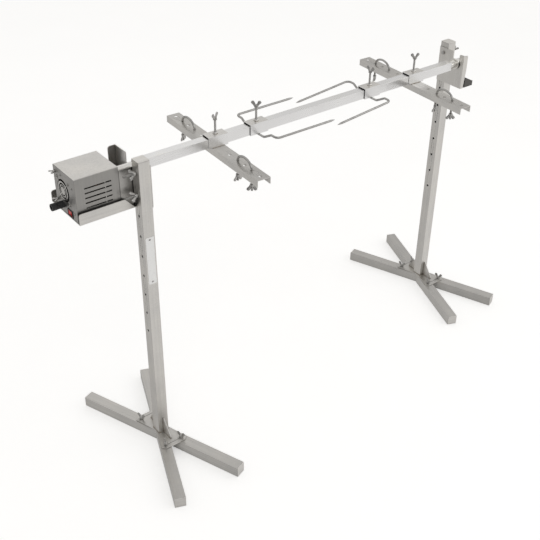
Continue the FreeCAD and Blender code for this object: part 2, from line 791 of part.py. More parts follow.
def build_end_screws():
    """Small screws for the fan guard and the end plate's edge, and two wing screws.

    The wing screws are a smaller size of the ones on the legs, and share their group.
    """
    to_left = Rotation(Vector(0, 1, 0), -90)
    screws = []
    for y, z in guard_screw_places():
        screws.append(moved(pan_screw(2.0, 8), housing_left - GUARD_SHEET, y, z, to_left))
    for y, z in EDGE_SCREWS:
        screws.append(moved(pan_screw(2.0, 8), housing_left, y, z, to_left))
    group("end_plate_screws", screws)
    wing_screws = leg_screws()
    across = to_left * Rotation(Vector(0, 0, 1), 90)
    for y, z in WING_SCREWS:
        screw = wing_screw(SCREW_GRIP)
        screw.scale(WING_SCREW_SHARE)
        grip = SCREW_GRIP * WING_SCREW_SHARE
        wing_screws.append(moved(screw, housing_left + grip, y, z, across))
    group("wing_screws", wing_screws)


def build_switch():
    """A rocker switch: a bezel and body clipped in the end plate, and a red rocker on a pin line."""
    rim = 2.0
    x = housing_left
    body_depth = 16.0
    gap = 0.1
    rim_block = block(x - rim, SWITCH_Y - SWITCH_WIDTH / 2 - rim, SWITCH_Z - SWITCH_HEIGHT / 2 - rim,
                      rim, SWITCH_WIDTH + 2 * rim, SWITCH_HEIGHT + 2 * rim)
    body = block(x, SWITCH_Y - SWITCH_WIDTH / 2 + gap, SWITCH_Z - SWITCH_HEIGHT / 2 + gap,
                 body_depth, SWITCH_WIDTH - 2 * gap, SWITCH_HEIGHT - 2 * gap)
    well = block(x - rim - 1, SWITCH_Y - SWITCH_WIDTH / 2 + 1.5, SWITCH_Z - SWITCH_HEIGHT / 2 + 1.5,
                 body_depth - 3, SWITCH_WIDTH - 3, SWITCH_HEIGHT - 3)
    pivot = rod(x + 4, SWITCH_Y, SWITCH_Z - SWITCH_HEIGHT, 1.5 + fit_gap, SWITCH_HEIGHT * 2)
    node("switch_bezel", cut(joined(rim_block, body), well, pivot))
    rock = 9.0
    half = SWITCH_WIDTH / 2 - 2.6
    lift = half * math.tan(math.radians(rock))
    crest = 1.2
    outline = [(-half, -crest - lift), (0, -crest + 1.2), (half, -crest - 0.2)]
    outline += [(half * 0.7, 8), (-half * 0.7, 8)]
    tall = SWITCH_HEIGHT - 4.0
    points = [Vector(depth, side, -tall / 2) for side, depth in outline]
    face = Part.Face(Part.makePolygon(points + points[:1]))
    pin_reach = SWITCH_HEIGHT / 2 - 0.3
    trunnion = Part.makeCylinder(1.5, 2 * pin_reach, Vector(4.0, 0, -pin_reach))
    rocker = face.extrude(Vector(0, 0, tall)).fuse(trunnion).removeSplitter()
    place = Placement(Vector(x.value, SWITCH_Y, SWITCH_Z), UPRIGHT)
    shaped("switch_rocker", rocker, place)


def build_gland():
    """The cable gland: a ribbed sleeve outside the end plate and a threaded spigot through it."""
    x = housing_left.value
    sleeve = Part.makeCylinder(GLAND_RADIUS, GLAND_LENGTH)
    groove = Part.makeCylinder(GLAND_RADIUS + 1, 3, Vector(0, 0, 8))
    groove = groove.cut(Part.makeCylinder(GLAND_RADIUS - 1.5, 3, Vector(0, 0, 8)))
    mouth = Part.makeCylinder(6.0, GLAND_LENGTH + 20, Vector(0, 0, -12))
    spigot = Part.makeCylinder(GLAND_THREAD, 10, Vector(0, 0, -10))
    to_left = Rotation(Vector(0, 1, 0), -90)
    gland = sleeve.cut(groove).fuse(spigot).cut(mouth)
    shaped("cable_gland", gland.removeSplitter(), Placement(Vector(x, GLAND_Y, GLAND_Z), to_left))


def build_coupling_guard():
    """The guard around the output socket: a tall front cheek, a floor and a low back cheek."""
    left = housing_right + 1
    right = post_side / 2 - 0.1
    length = right - left
    bottom = housing_bottom
    height = 1119 - bottom
    back_height = 1055 - bottom
    width = 118.0
    floor = block(left, housing_front, bottom, length, width, cover_sheet)
    front = block(left, housing_front, bottom, length, cover_sheet, height)
    back = block(left, housing_front + width - cover_sheet, bottom, length, cover_sheet, back_height)
    fold = block(left, housing_front, bottom, cover_sheet, 12, height)
    node("coupling_guard", joined(floor, front, back, fold))


build_coupling_guard()
build_cover()
build_end_plate()
build_fan_guard()
build_end_screws()
build_switch()
build_gland()


# ---- Motor and gear train ----
WHEEL_1 = (-106.0, 9.0)
STAGE_2 = (-93.0, 12.0)
GEAR_PLATE_X = -112.0
ROTOR_END = -95.0
STATOR = (-172.0, 50.0)
FAN_X = (-206.0, 13.0)
CORE_RADIUS = 24.0
AIR_GAP = 0.5
drive_plate_x = housing_right - plate_sheet


def centre_distance():
    return gear_module.value * (WHEEL_TEETH + PINION_TEETH) / 2


def countershaft_place():
    """Where the countershaft stands: one centre distance from both the rotor and the output."""
    rotor = Vector(0, rotor_y.value, rotor_height.value)
    output = Vector(0, motor_side_offset.value, spit_height.value)
    between = output - rotor
    middle = (rotor + output) * 0.5
    across = math.sqrt(centre_distance() ** 2 - (between.Length / 2) ** 2)
    sideways = Vector(0, -between.z, between.y).normalize()
    return middle + sideways * across


def direction(start, end):
    """Angle of a line seen from +X, in degrees from +Y towards +Z."""
    return math.degrees(math.atan2(end.z - start.z, end.y - start.y))


def gear(teeth, width, tooth_angle, bore=0.0):
    """A spur gear on the YZ plane, along +X, with one tooth centred on tooth_angle."""
    module = gear_module.value
    pitch_radius = module * teeth / 2
    root = pitch_radius - 1.2 * module
    tip = pitch_radius + 0.9 * module
    pitch_angle = FULL_TURN / teeth
    root_half = 0.25 * pitch_angle
    tip_half = 0.10 * pitch_angle
    corners = []
    for index in range(teeth):
        middle = tooth_angle + index * pitch_angle
        for radius, offset in ((root, -root_half), (tip, -tip_half), (tip, tip_half), (root, root_half)):
            angle = math.radians(middle + offset)
            corners.append(Vector(0, radius * math.cos(angle), radius * math.sin(angle)))
    solid = Part.Face(Part.makePolygon(corners + corners[:1])).extrude(Vector(width, 0, 0))
    if bore:
        solid = solid.cut(Part.makeCylinder(bore, width + 2, Vector(-1, 0, 0), Vector(1, 0, 0)))
    return solid


def axle(radius, start, end):
    return Part.makeCylinder(radius, end - start, Vector(start, 0, 0), Vector(1, 0, 0))


def build_gear_train():
    rotor = Vector(0, rotor_y.value, rotor_height.value)
    output = Vector(0, motor_side_offset.value, spit_height.value)
    counter = countershaft_place()
    facing = direction(rotor, counter)
    pinion = gear(PINION_TEETH, WHEEL_1[1], facing)
    pinion.translate(Vector(WHEEL_1[0], 0, 0))
    shaft = axle(shaft_radius.value, FAN_X[0], ROTOR_END)
    core = axle(CORE_RADIUS, STATOR[0], STATOR[0] + STATOR[1])
    shaped("rotor", shaft.fuse(core).fuse(pinion).removeSplitter(), Placement(rotor, UPRIGHT))

    gap_angle = facing + 180 + FULL_TURN / WHEEL_TEETH / 2
    wheel = gear(WHEEL_TEETH, WHEEL_1[1], gap_angle)
    wheel.translate(Vector(WHEEL_1[0], 0, 0))
    facing = direction(counter, output)
    pinion = gear(PINION_TEETH, STAGE_2[1], facing)
    pinion.translate(Vector(STAGE_2[0], 0, 0))
    shaft = axle(shaft_radius.value, GEAR_PLATE_X, housing_right.value)
    cluster = shaft.fuse(wheel).fuse(pinion).removeSplitter()
    shaped("countershaft", cluster, Placement(counter, UPRIGHT))

    gap_angle = facing + 180 + FULL_TURN / WHEEL_TEETH / 2
    inner_radius = 6.0
    wheel = gear(WHEEL_TEETH, STAGE_2[1], gap_angle, inner_radius + fit_gap.value)
    shaped("output_gear", moved(wheel, STAGE_2[0], 0, 0), Placement(output, UPRIGHT))

    shoulder = STAGE_2[0] + STAGE_2[1] + 0.5
    inner = axle(inner_radius, GEAR_PLATE_X, shoulder)
    outer = axle(output_radius.value, shoulder, housing_right.value + 1)
    socket = axle(socket_radius.value, housing_right.value + 1, housing_right.value + 27)
    hole_side = tang_side.value + 2 * fit_gap.value
    corner = Vector(housing_right.value + 3, -hole_side / 2, -hole_side / 2)
    hole = Part.makeBox(30, hole_side, hole_side, corner)
    output_shaft = inner.fuse(outer).fuse(socket).cut(hole).removeSplitter()
    shaped("output_shaft", output_shaft, Placement(output, UPRIGHT))


def build_gear_plates():
    """The two plates that carry the shafts, and the four pillars between them."""
    counter = countershaft_place()
    bush = 2.5
    gear_plate = inner_plate(GEAR_PLATE_X)
    drills = [rod(GEAR_PLATE_X - 1, rotor_y, rotor_height, shaft_radius + bush, 4, ALONG_X)]
    drills.append(rod(GEAR_PLATE_X - 1, counter.y, counter.z, shaft_radius + bush, 4, ALONG_X))
    drills.append(rod(GEAR_PLATE_X - 1, motor_side_offset, spit_height, 6 + bush, 4, ALONG_X))
    node("gear_plate", cut(gear_plate, *drills))
    drive_plate = inner_plate(drive_plate_x)
    drills = [rod(drive_plate_x - 1, counter.y, counter.z, shaft_radius + bush, 4, ALONG_X)]
    drills.append(rod(drive_plate_x - 1, motor_side_offset, spit_height, output_radius + bush, 4, ALONG_X))
    node("drive_plate", cut(drive_plate, *drills))
    bushes = []
    sites = [(GEAR_PLATE_X, rotor_y, rotor_height, shaft_radius.value)]
    sites += [(GEAR_PLATE_X, counter.y, counter.z, shaft_radius.value)]
    sites += [(GEAR_PLATE_X, motor_side_offset, spit_height, 6.0)]
    sites += [(drive_plate_x.value, counter.y, counter.z, shaft_radius.value)]
    sites += [(drive_plate_x.value, motor_side_offset, spit_height, output_radius.value)]
    for x, y, z, radius in sites:
        ring = axle(radius + bush, 0, plate_sheet.value)
        ring = ring.cut(axle(radius + fit_gap.value, -1, plate_sheet.value + 1))
        bushes.append(moved(ring, x, y, z))
    group("shaft_bushes", bushes)
    pillars = []
    start = GEAR_PLATE_X + plate_sheet.value
    for y, z in corner_places():
        pillars.append(moved(axle(4.0, start, drive_plate_x.value), 0, y, z))
    group("gear_pillars", pillars)


def build_motor():
    """The stator stack with its two coil rings, and the end frames that carry it."""
    start, length = STATOR
    side = 70.0
    bore = CORE_RADIUS + AIR_GAP
    centre = Placement(Vector(0, rotor_y.value, rotor_height.value), UPRIGHT)
    stack = Part.makeBox(length, side, side, Vector(start, -side / 2, -side / 2))
    stack = stack.cut(axle(bore, start - 1, start + length + 1))
    shaped("stator", stack, centre)
    coil_length = 6.0
    coils = []
    for coil_start in (start - coil_length, start + length):
        coil = axle(bore + 9, coil_start, coil_start + coil_length)
        coil = coil.cut(axle(bore + 1, coil_start - 1, coil_start + coil_length + 1))
        coils.append(moved(coil, 0, rotor_y, rotor_height))
    group("stator_windings", coils)
    frames = []
    foot_side = 5.0
    foot_length = 8.0
    sheet_thickness = 2.0
    end = start + length
    for frame_start, foot_start in ((start - foot_length - sheet_thickness, start - foot_length),
                                    (end + foot_length, end)):
        frame = Part.makeBox(sheet_thickness, side, side, Vector(frame_start, -side / 2, -side / 2))
        bore_end = frame_start + sheet_thickness + 1
        frame = frame.cut(axle(shaft_radius.value + fit_gap.value, frame_start - 1, bore_end))
        for corner_y in (-side / 2, side / 2 - foot_side):
            for corner_z in (-side / 2, side / 2 - foot_side):
                corner = Vector(foot_start, corner_y, corner_z)
                frame = frame.fuse(Part.makeBox(foot_length, foot_side, foot_side, corner))
        frames.append(moved(frame.removeSplitter(), 0, rotor_y, rotor_height))
    group("motor_end_frames", frames)


def build_fan():
    """The cooling fan: a hub with raked blades on the rotor shaft."""
    start, width = FAN_X
    hub = axle(13.0, start, start + width)
    blades = 7
    for index in range(blades):
        blade = Part.makeBox(width + 3, 2.0, 22.0, Vector(start, -1.0, 11.5))
        blade.rotate(Vector(start + width / 2, 0, 0), Vector(0, 0, 1), 38)
        blade = blade.common(axle(34.0, start, start + width))
        blade.rotate(Vector(0, 0, 0), Vector(1, 0, 0), FULL_TURN / blades * index)
        hub = hub.fuse(blade)
    hub = hub.cut(axle(shaft_radius.value + fit_gap.value, start - 1, start + width + 1))
    place = Placement(Vector(0, rotor_y.value, rotor_height.value), UPRIGHT)
    shaped("fan_impeller", hub.removeSplitter(), place)


build_gear_train()
build_gear_plates()
build_motor()
build_fan()


# ---- Spit ----
def build_spit():
    half = spit_side / 2
    length = spit_end - spit_start
    outside = block(spit_start, motor_side_offset - half, spit_height - half, length, spit_side, spit_side)
    inner = spit_side - 2 * spit_wall
    inside = block(spit_start - 1, motor_side_offset - inner / 2, spit_height - inner / 2,
                   length + 2, inner, inner)
    node("spit_tube", cut(outside, inside))
    plug_side = inner.value - 2 * fit_gap.value
    plug = 30.0
    axis = Placement(Vector(0, motor_side_offset.value, spit_height.value), UPRIGHT)
    width = flange_width.value

    start = spit_start.value
    shank_end = housing_right.value + 27.5
    stem = axle(journal_radius.value, shank_end, start)
    flange = axle(flange_radius.value, start - 17, start - 17 + width)
    core = Part.makeBox(plug, plug_side, plug_side, Vector(start, -plug_side / 2, -plug_side / 2))
    side = tang_side.value
    tang = Part.makeBox(24, side, side, Vector(shank_end - 24, -side / 2, -side / 2))
    journal = stem.fuse(flange).fuse(core).fuse(tang).removeSplitter()
    shaped("drive_journal", journal, axis)

    start = spit_end.value
    seat_end = support_x.value + 4
    plate_face = support_x.value - post_side.value / 2 - sheet_steel.value
    stem = axle(cradle_journal_radius.value, start, seat_end)
    flange = axle(flange_radius.value, plate_face - 4 - width, plate_face - 4)
    core = Part.makeBox(plug, plug_side, plug_side, Vector(start - plug, -plug_side / 2, -plug_side / 2))
    shaped("cradle_journal", stem.fuse(flange).fuse(core).removeSplitter(), axis)


build_spit()


# ---- Forks and clamps on the spit ----
COLLAR_FLOOR = -spit_side.value / 2 - fit_gap.value - collar_wall.value


def collar_shape():
    """A collar around the spit, from x = 0: square tube with a welded nut on top."""
    length = collar_length.value
    side = collar_side.value
    wall = collar_wall.value
    outside = Part.makeBox(length, side, side, Vector(0, -side / 2, COLLAR_FLOOR))
    inner = side - 2 * wall
    inside = Part.makeBox(length + 2, inner, inner, Vector(-1, -inner / 2, COLLAR_FLOOR + wall))
    nut = hexagon(8.0, nut_height.value)
    middle = Vector(length / 2, 0, COLLAR_FLOOR + side)
    nut.translate(middle)
    drill = Part.makeCylinder(thread_radius.value + fit_gap.value, side)
    drill.translate(Vector(length / 2, 0, 0))
    return outside.cut(inside).fuse(nut).cut(drill).removeSplitter()


def setting_screw_shape(turn):
    """The wing screw that locks a collar: its tip stands just off the spit's top."""
    facing = Rotation(Vector(0, 0, 1), turn)
    tip = spit_side / 2 + fit_gap
    return moved(wing_screw(screw_length.value), collar_length / 2, 0, tip, facing)


def rounded_wire(points, radius):
    """A wire through the points with every inner corner rounded to the radius."""
    edges = []
    start = points[0]
    for index in range(1, len(points) - 1):
        corner = points[index]
        before = (points[index - 1] - corner).normalize()
        after = (points[index + 1] - corner).normalize()
        half = before.getAngle(after) / 2
        reach = radius / math.tan(half)
        first = corner + before * reach
        last = corner + after * reach
        inward = (before + after).normalize()
        middle = corner + inward * (radius / math.sin(half) - radius)
        edges.append(Part.makeLine(start, first))
        edges.append(Part.Arc(first, middle, last).toShape())
        start = last
    edges.append(Part.makeLine(start, points[-1]))
    return Part.Wire(edges)


def prongs_shape(droop):
    """Both prongs and the cross rod under the collar, bent from one rod.

    The rod rises on each side of the collar from under it to the height of the spit's axis.
    """
    radius = prong_radius.value
    low = COLLAR_FLOOR - radius - fit_gap.value
    start = prong_start.value
    side = prong_offset.value
    angle = math.radians(droop)
    along = Vector(math.cos(angle), 0, -math.sin(angle))
    straight = prong_reach.value - tip_length.value
    low_end = 44.0
    high_start = 84.0
    half = []
    half.append(Vector(start, low_end, low))
    half.append(Vector(start, high_start, 0))
    half.append(Vector(start, side, 0))
    half.append(Vector(start, side, 0) + along * straight)
    mirrored = [Vector(point.x, -point.y, point.z) for point in half]
    path = list(reversed(mirrored)) + half
    wire = rounded_wire(path, 16.0)
    circle = Part.Circle(path[0], along, radius).toShape()
    solid = wire.makePipeShell([Part.Wire([circle])], True, False)
    for end in (path[0], path[-1]):
        solid = solid.fuse(Part.makeCone(radius, 0.8, tip_length.value, end, along))
    return solid.removeSplitter()


def build_fork(name, start, facing, droop, screw_turn):
    """A fork on its collar; facing is 0 for prongs along +X and 180 for prongs along -X."""
    turn = Rotation(Vector(0, 0, 1), facing)
    place = Placement(Vector(start, motor_side_offset.value, spit_height.value), turn)
    shaped(f"{name}_collar", collar_shape(), place)
    shaped(f"{name}_prongs", prongs_shape(droop), place)
    shaped(f"{name}_screw", setting_screw_shape(screw_turn), place)


def channel_shape():
    """The clamp channel across the spit: web on top, flanges down, holes for U bolts and pins."""
    length = bar_length.value
    width = bar_width.value
    thickness = bar_sheet.value
    top = COLLAR_FLOOR - fit_gap.value
    middle = collar_length.value / 2
    corner = Vector(middle - width / 2, -length / 2, top - bar_height.value)
    outside = Part.makeBox(width, length, bar_height.value, corner)
    corner = Vector(middle - width / 2 + thickness, -length / 2 - 1, top - bar_height.value - 1)
    inside = Part.makeBox(width - 2 * thickness, length + 2, bar_height.value - thickness + 1, corner)
    channel = outside.cut(inside)
    sites = []
    for side in (-1, 1):
        for index in (1, 2, 3):
            sites.append((side * index * bar_hole_pitch.value, 6.0))
        for leg in (-1, 1):
            place = side * 2 * bar_hole_pitch.value + leg * u_bolt_spread.value / 2
            sites.append((place, thread_radius.value + 0.4))
    for place, radius in sites:
        channel = channel.cut(Part.makeCylinder(radius, 60, Vector(middle, place, top - 30)))
    return channel


def u_bolt_shape():
    """A U bolt over the origin in the YZ plane: a flattened arch, and legs along -Z."""
    radius = thread_radius.value
    reach = u_bolt_spread.value / 2
    rise = 27.5
    drop = 72.0
    oval = Part.Ellipse(Vector(0, 0, 0), reach, rise)
    bow = oval.toShape(0, math.pi)
    bow.rotate(Vector(0, 0, 0), Vector(1, 0, 0), 90)
    bow.rotate(Vector(0, 0, 0), Vector(0, 0, 1), 90)
    foot = Part.makeLine(Vector(0, reach, -drop), Vector(0, reach, 0))
    far_foot = Part.makeLine(Vector(0, -reach, 0), Vector(0, -reach, -drop))
    path = Part.Wire([foot, bow, far_foot])
    section = Part.Wire([Part.Circle(Vector(0, reach, -drop), Vector(0, 0, 1), radius).toShape()])
    return path.makePipeShell([section], True, False)


def build_clamp(name, start, screw_turn):
    """A carcass clamp: a channel under a collar, with two U bolts and their wing nuts."""
    turn = Rotation(Vector(0, 0, 1), clamp_turn.value)
    middle = Vector(start + collar_length.value / 2, motor_side_offset.value, spit_height.value)
    place = Placement(middle, turn) * Placement(Vector(-collar_length.value / 2, 0, 0), UPRIGHT)
    shaped(f"{name}_collar", collar_shape(), place)
    shaped(f"{name}_channel", channel_shape(), place)
    top = COLLAR_FLOOR - fit_gap.value
    bolts = []
    nuts = []
    nut = wing_head(thread_radius.value + fit_gap.value)
    hang = 49.0
    down = Rotation(Vector(1, 0, 0), 180)
    for side in (-1, 1):
        site = side * 2 * bar_hole_pitch.value
        bolts.append(moved(u_bolt_shape(), collar_length / 2, site, top - 1))
        for leg in (-1, 1):
            leg_y = site + leg * u_bolt_spread.value / 2
            facing = Rotation(Vector(0, 0, 1), 12 * side + 18 * leg) * down
            nuts.append(moved(nut, collar_length / 2, leg_y, top - hang, facing))
    shaped(f"{name}_u_bolts", Part.Compound(bolts), place)
    shaped(f"{name}_wing_nuts", Part.Compound(nuts), place)
    shaped(f"{name}_screw", setting_screw_shape(screw_turn), place)


build_fork("fork_a", fork_a_start.value, 0, 0.0, -40)
build_fork("fork_b", fork_b_start.value + collar_length.value, 180, fork_b_droop.value, 100)
build_clamp("clamp_a", clamp_a_start.value, 25)
build_clamp("clamp_b", clamp_b_start.value, -20)


# ---- Check and write ----
def write_parts():
    doc.recompute()
    faults = []
    for item in doc.Objects:
        if "Invalid" in item.State or "Error" in item.State:
            faults.append(f"{item.Name} ({item.Label}): {item.State}")
    for item in nodes:
        if item.Shape.isNull() or not item.Shape.isValid() or not item.Shape.Solids:
            faults.append(f"{item.Label}: shape is not a valid solid")
    if faults:
        raise RuntimeError("; ".join(faults))
    os.makedirs("parts", exist_ok=True)
    for item in nodes:
        item.Shape.exportStep(f"parts/{item.Label}.step")
    print(len(nodes), "nodes written")


write_parts()
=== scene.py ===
"""Looks of the motor-driven spit-roasting stand: fine shapes, materials, floor, light and camera."""
import math

import bmesh
import bpy
from mathutils import Matrix, Vector


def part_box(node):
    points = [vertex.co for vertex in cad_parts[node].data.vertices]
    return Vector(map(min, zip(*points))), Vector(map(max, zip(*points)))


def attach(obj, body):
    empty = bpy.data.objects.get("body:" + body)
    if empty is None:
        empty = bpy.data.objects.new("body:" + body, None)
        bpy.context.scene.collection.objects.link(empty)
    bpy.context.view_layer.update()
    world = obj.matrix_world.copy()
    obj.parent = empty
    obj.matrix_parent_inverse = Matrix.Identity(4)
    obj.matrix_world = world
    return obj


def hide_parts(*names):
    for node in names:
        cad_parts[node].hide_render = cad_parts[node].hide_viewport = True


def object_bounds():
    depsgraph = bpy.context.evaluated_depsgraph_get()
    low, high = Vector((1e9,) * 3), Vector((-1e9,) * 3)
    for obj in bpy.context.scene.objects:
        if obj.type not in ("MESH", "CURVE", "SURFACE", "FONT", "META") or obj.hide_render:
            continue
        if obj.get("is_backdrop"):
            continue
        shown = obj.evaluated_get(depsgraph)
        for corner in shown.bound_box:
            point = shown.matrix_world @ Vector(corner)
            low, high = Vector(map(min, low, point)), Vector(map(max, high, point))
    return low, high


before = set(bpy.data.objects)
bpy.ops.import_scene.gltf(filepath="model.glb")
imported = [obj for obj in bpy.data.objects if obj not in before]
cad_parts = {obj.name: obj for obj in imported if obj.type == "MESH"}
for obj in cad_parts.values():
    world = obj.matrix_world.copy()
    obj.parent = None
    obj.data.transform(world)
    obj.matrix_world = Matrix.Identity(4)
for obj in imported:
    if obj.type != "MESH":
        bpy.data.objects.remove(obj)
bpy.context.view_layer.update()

# Shapes are drawn in millimetres and written in metres.
MM = 0.001
X = Vector((1, 0, 0))
Y = Vector((0, 1, 0))
Z = Vector((0, 0, 1))
UP = Matrix.Identity(4)
TO_LEFT = Matrix.Rotation(-math.pi / 2, 4, "Y")
TO_RIGHT = Matrix.Rotation(math.pi / 2, 4, "Y")
TO_FRONT = Matrix.Rotation(math.pi / 2, 4, "X")
DOWN = Matrix.Rotation(math.pi, 4, "X")


# ---- Shapes ----
class Shape:
    """Points and faces that grow as parts are added."""

    def __init__(self):
        self.points = []
        self.faces = []

    def add(self, points, faces):
        start = len(self.points)
        self.points += [Vector(point) for point in points]
        self.faces += [[start + index for index in face] for face in faces]
        return self

    def join(self, *others):
        for other in others:
            self.add(other.points, other.faces)
        return self

    def placed(self, matrix):
        return Shape().add([matrix @ point for point in self.points], self.faces)


def skin(rings):
    """A closed surface through rings of equal point count."""
    sides = len(rings[0])
    points = [point for ring in rings for point in ring]
    faces = [list(range(sides - 1, -1, -1))]
    for row in range(len(rings) - 1):
        for column in range(sides):
            following = (column + 1) % sides
            first = row * sides
            faces.append([first + column, first + following,
                          first + sides + following, first + sides + column])
    last = (len(rings) - 1) * sides
    faces.append(list(range(last, last + sides)))
    return Shape().add(points, faces)


def circle(radius, height, sides, reach=None):
    """A ring around Z; reach, when given, turns an angle into a radius."""
    ring = []
    for step in range(sides):
        angle = math.tau * step / sides
        size = reach(angle) if reach else radius
        ring.append(Vector((size * math.cos(angle), size * math.sin(angle), height)))
    return ring


def lathe(outline, sides=32):
    """A turned shape around Z from (radius, height) pairs, bottom first."""
    return skin([circle(radius, height, sides) for radius, height in outline])


def sweep(path, radius, sides=16):
    """A rod along a path; radius is a number, or a function of distance and angle."""
    rings = []
    distance = 0.0
    normal = None
    for index, point in enumerate(path):
        before = path[max(index - 1, 0)]
        after = path[min(index + 1, len(path) - 1)]
        tangent = (after - before).normalized()
        if normal is None:
            normal = tangent.orthogonal()
        normal = (normal - tangent * normal.dot(tangent)).normalized()
        side = tangent.cross(normal)
        ring = []
        for step in range(sides):
            angle = math.tau * step / sides
            size = radius(distance, angle) if callable(radius) else radius
            ring.append(point + (normal * math.cos(angle) + side * math.sin(angle)) * size)
        rings.append(ring)
        distance += (after - point).length
    return skin(rings)


def divided(path, spacing):
    """The same path with points no further apart than the spacing."""
    points = [path[0]]
    for start, end in zip(path, path[1:]):
        steps = max(1, math.ceil((end - start).length / spacing))
        points += [start.lerp(end, step / steps) for step in range(1, steps + 1)]
    return points


def rounded(corners, radius, steps=10):
    """A path through the corners with each inner corner turned into an arc."""
    path = [corners[0]]
    for before, corner, after in zip(corners, corners[1:], corners[2:]):
        back = (before - corner).normalized()
        ahead = (after - corner).normalized()
        half = back.angle(ahead) / 2
        centre = corner + (back + ahead).normalized() * (radius / math.sin(half))
        first = (corner + back * (radius / math.tan(half)) - centre).normalized()
        last = (corner + ahead * (radius / math.tan(half)) - centre).normalized()
        path += [centre + first.slerp(last, step / steps) * radius for step in range(steps + 1)]
    return path + [corners[-1]]


def fused(shape, voxel, softening, kept_share):
    """One closed skin around overlapping closed parts, with the joins between them softened."""
    draft = bpy.data.objects.new("draft", bpy.data.meshes.new("draft"))
    draft.data.from_pydata(shape.points, [], shape.faces)
    bpy.context.scene.collection.objects.link(draft)
    remesh = draft.modifiers.new("one skin", "REMESH")
    remesh.mode = "VOXEL"
    remesh.voxel_size = voxel
    smooth = draft.modifiers.new("soft joins", "SMOOTH")
    smooth.iterations = softening
    thin = draft.modifiers.new("fewer faces", "DECIMATE")
    thin.ratio = kept_share
    result = draft.evaluated_get(bpy.context.evaluated_depsgraph_get()).to_mesh()
    made = Shape().add([vertex.co.copy() for vertex in result.vertices],
                       [list(face.vertices) for face in result.polygons])
    bpy.data.objects.remove(draft)
    return made


def piece(name, shape, body, material, replaced=(), sharp=35.0):
    """Writes a shape as a visible piece that rides on a body and may stand for CAD nodes."""
    mesh = bpy.data.meshes.new(name)
    mesh.from_pydata([point * MM for point in shape.points], [], shape.faces)
    work = bmesh.new()
    work.from_mesh(mesh)
    bmesh.ops.recalc_face_normals(work, faces=work.faces)
    for face in work.faces:
        face.smooth = True
    for edge in work.edges:
        edge.smooth = len(edge.link_faces) == 2 and edge.calc_face_angle(0.0) < math.radians(sharp)
    work.to_mesh(mesh)
    work.free()
    made = bpy.data.objects.new(name, mesh)
    bpy.context.scene.collection.objects.link(made)
    mesh.materials.append(material)
    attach(made, body)
    if replaced:
        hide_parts(*replaced)
    return made


MERGE_DISTANCE = 0.00001
SHARP_ANGLE = math.radians(32)


def soften(item, width):
    """Rounds an object's sharp edges, as folding and deburring leave them."""
    weld = item.modifiers.new("weld", "WELD")
    weld.merge_threshold = MERGE_DISTANCE
    bevel = item.modifiers.new("edges", "BEVEL")
    bevel.width = width * MM
    bevel.segments = 3
    bevel.limit_method = "ANGLE"
    bevel.angle_limit = SHARP_ANGLE
    bevel.miter_outer = "MITER_ARC"
    normals = item.modifiers.new("normals", "WEIGHTED_NORMAL")
    normals.keep_sharp = False


def box_mm(node):
    """A CAD node's lowest corner, highest corner and centre in millimetres."""
    low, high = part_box(node)
    return low / MM, high / MM, (low + high) / (2 * MM)


def at(x, y, z, turn=UP):
    return Matrix.Translation((x, y, z)) @ turn


def about(axis, degrees):
    return Matrix.Rotation(math.radians(degrees), 4, axis)


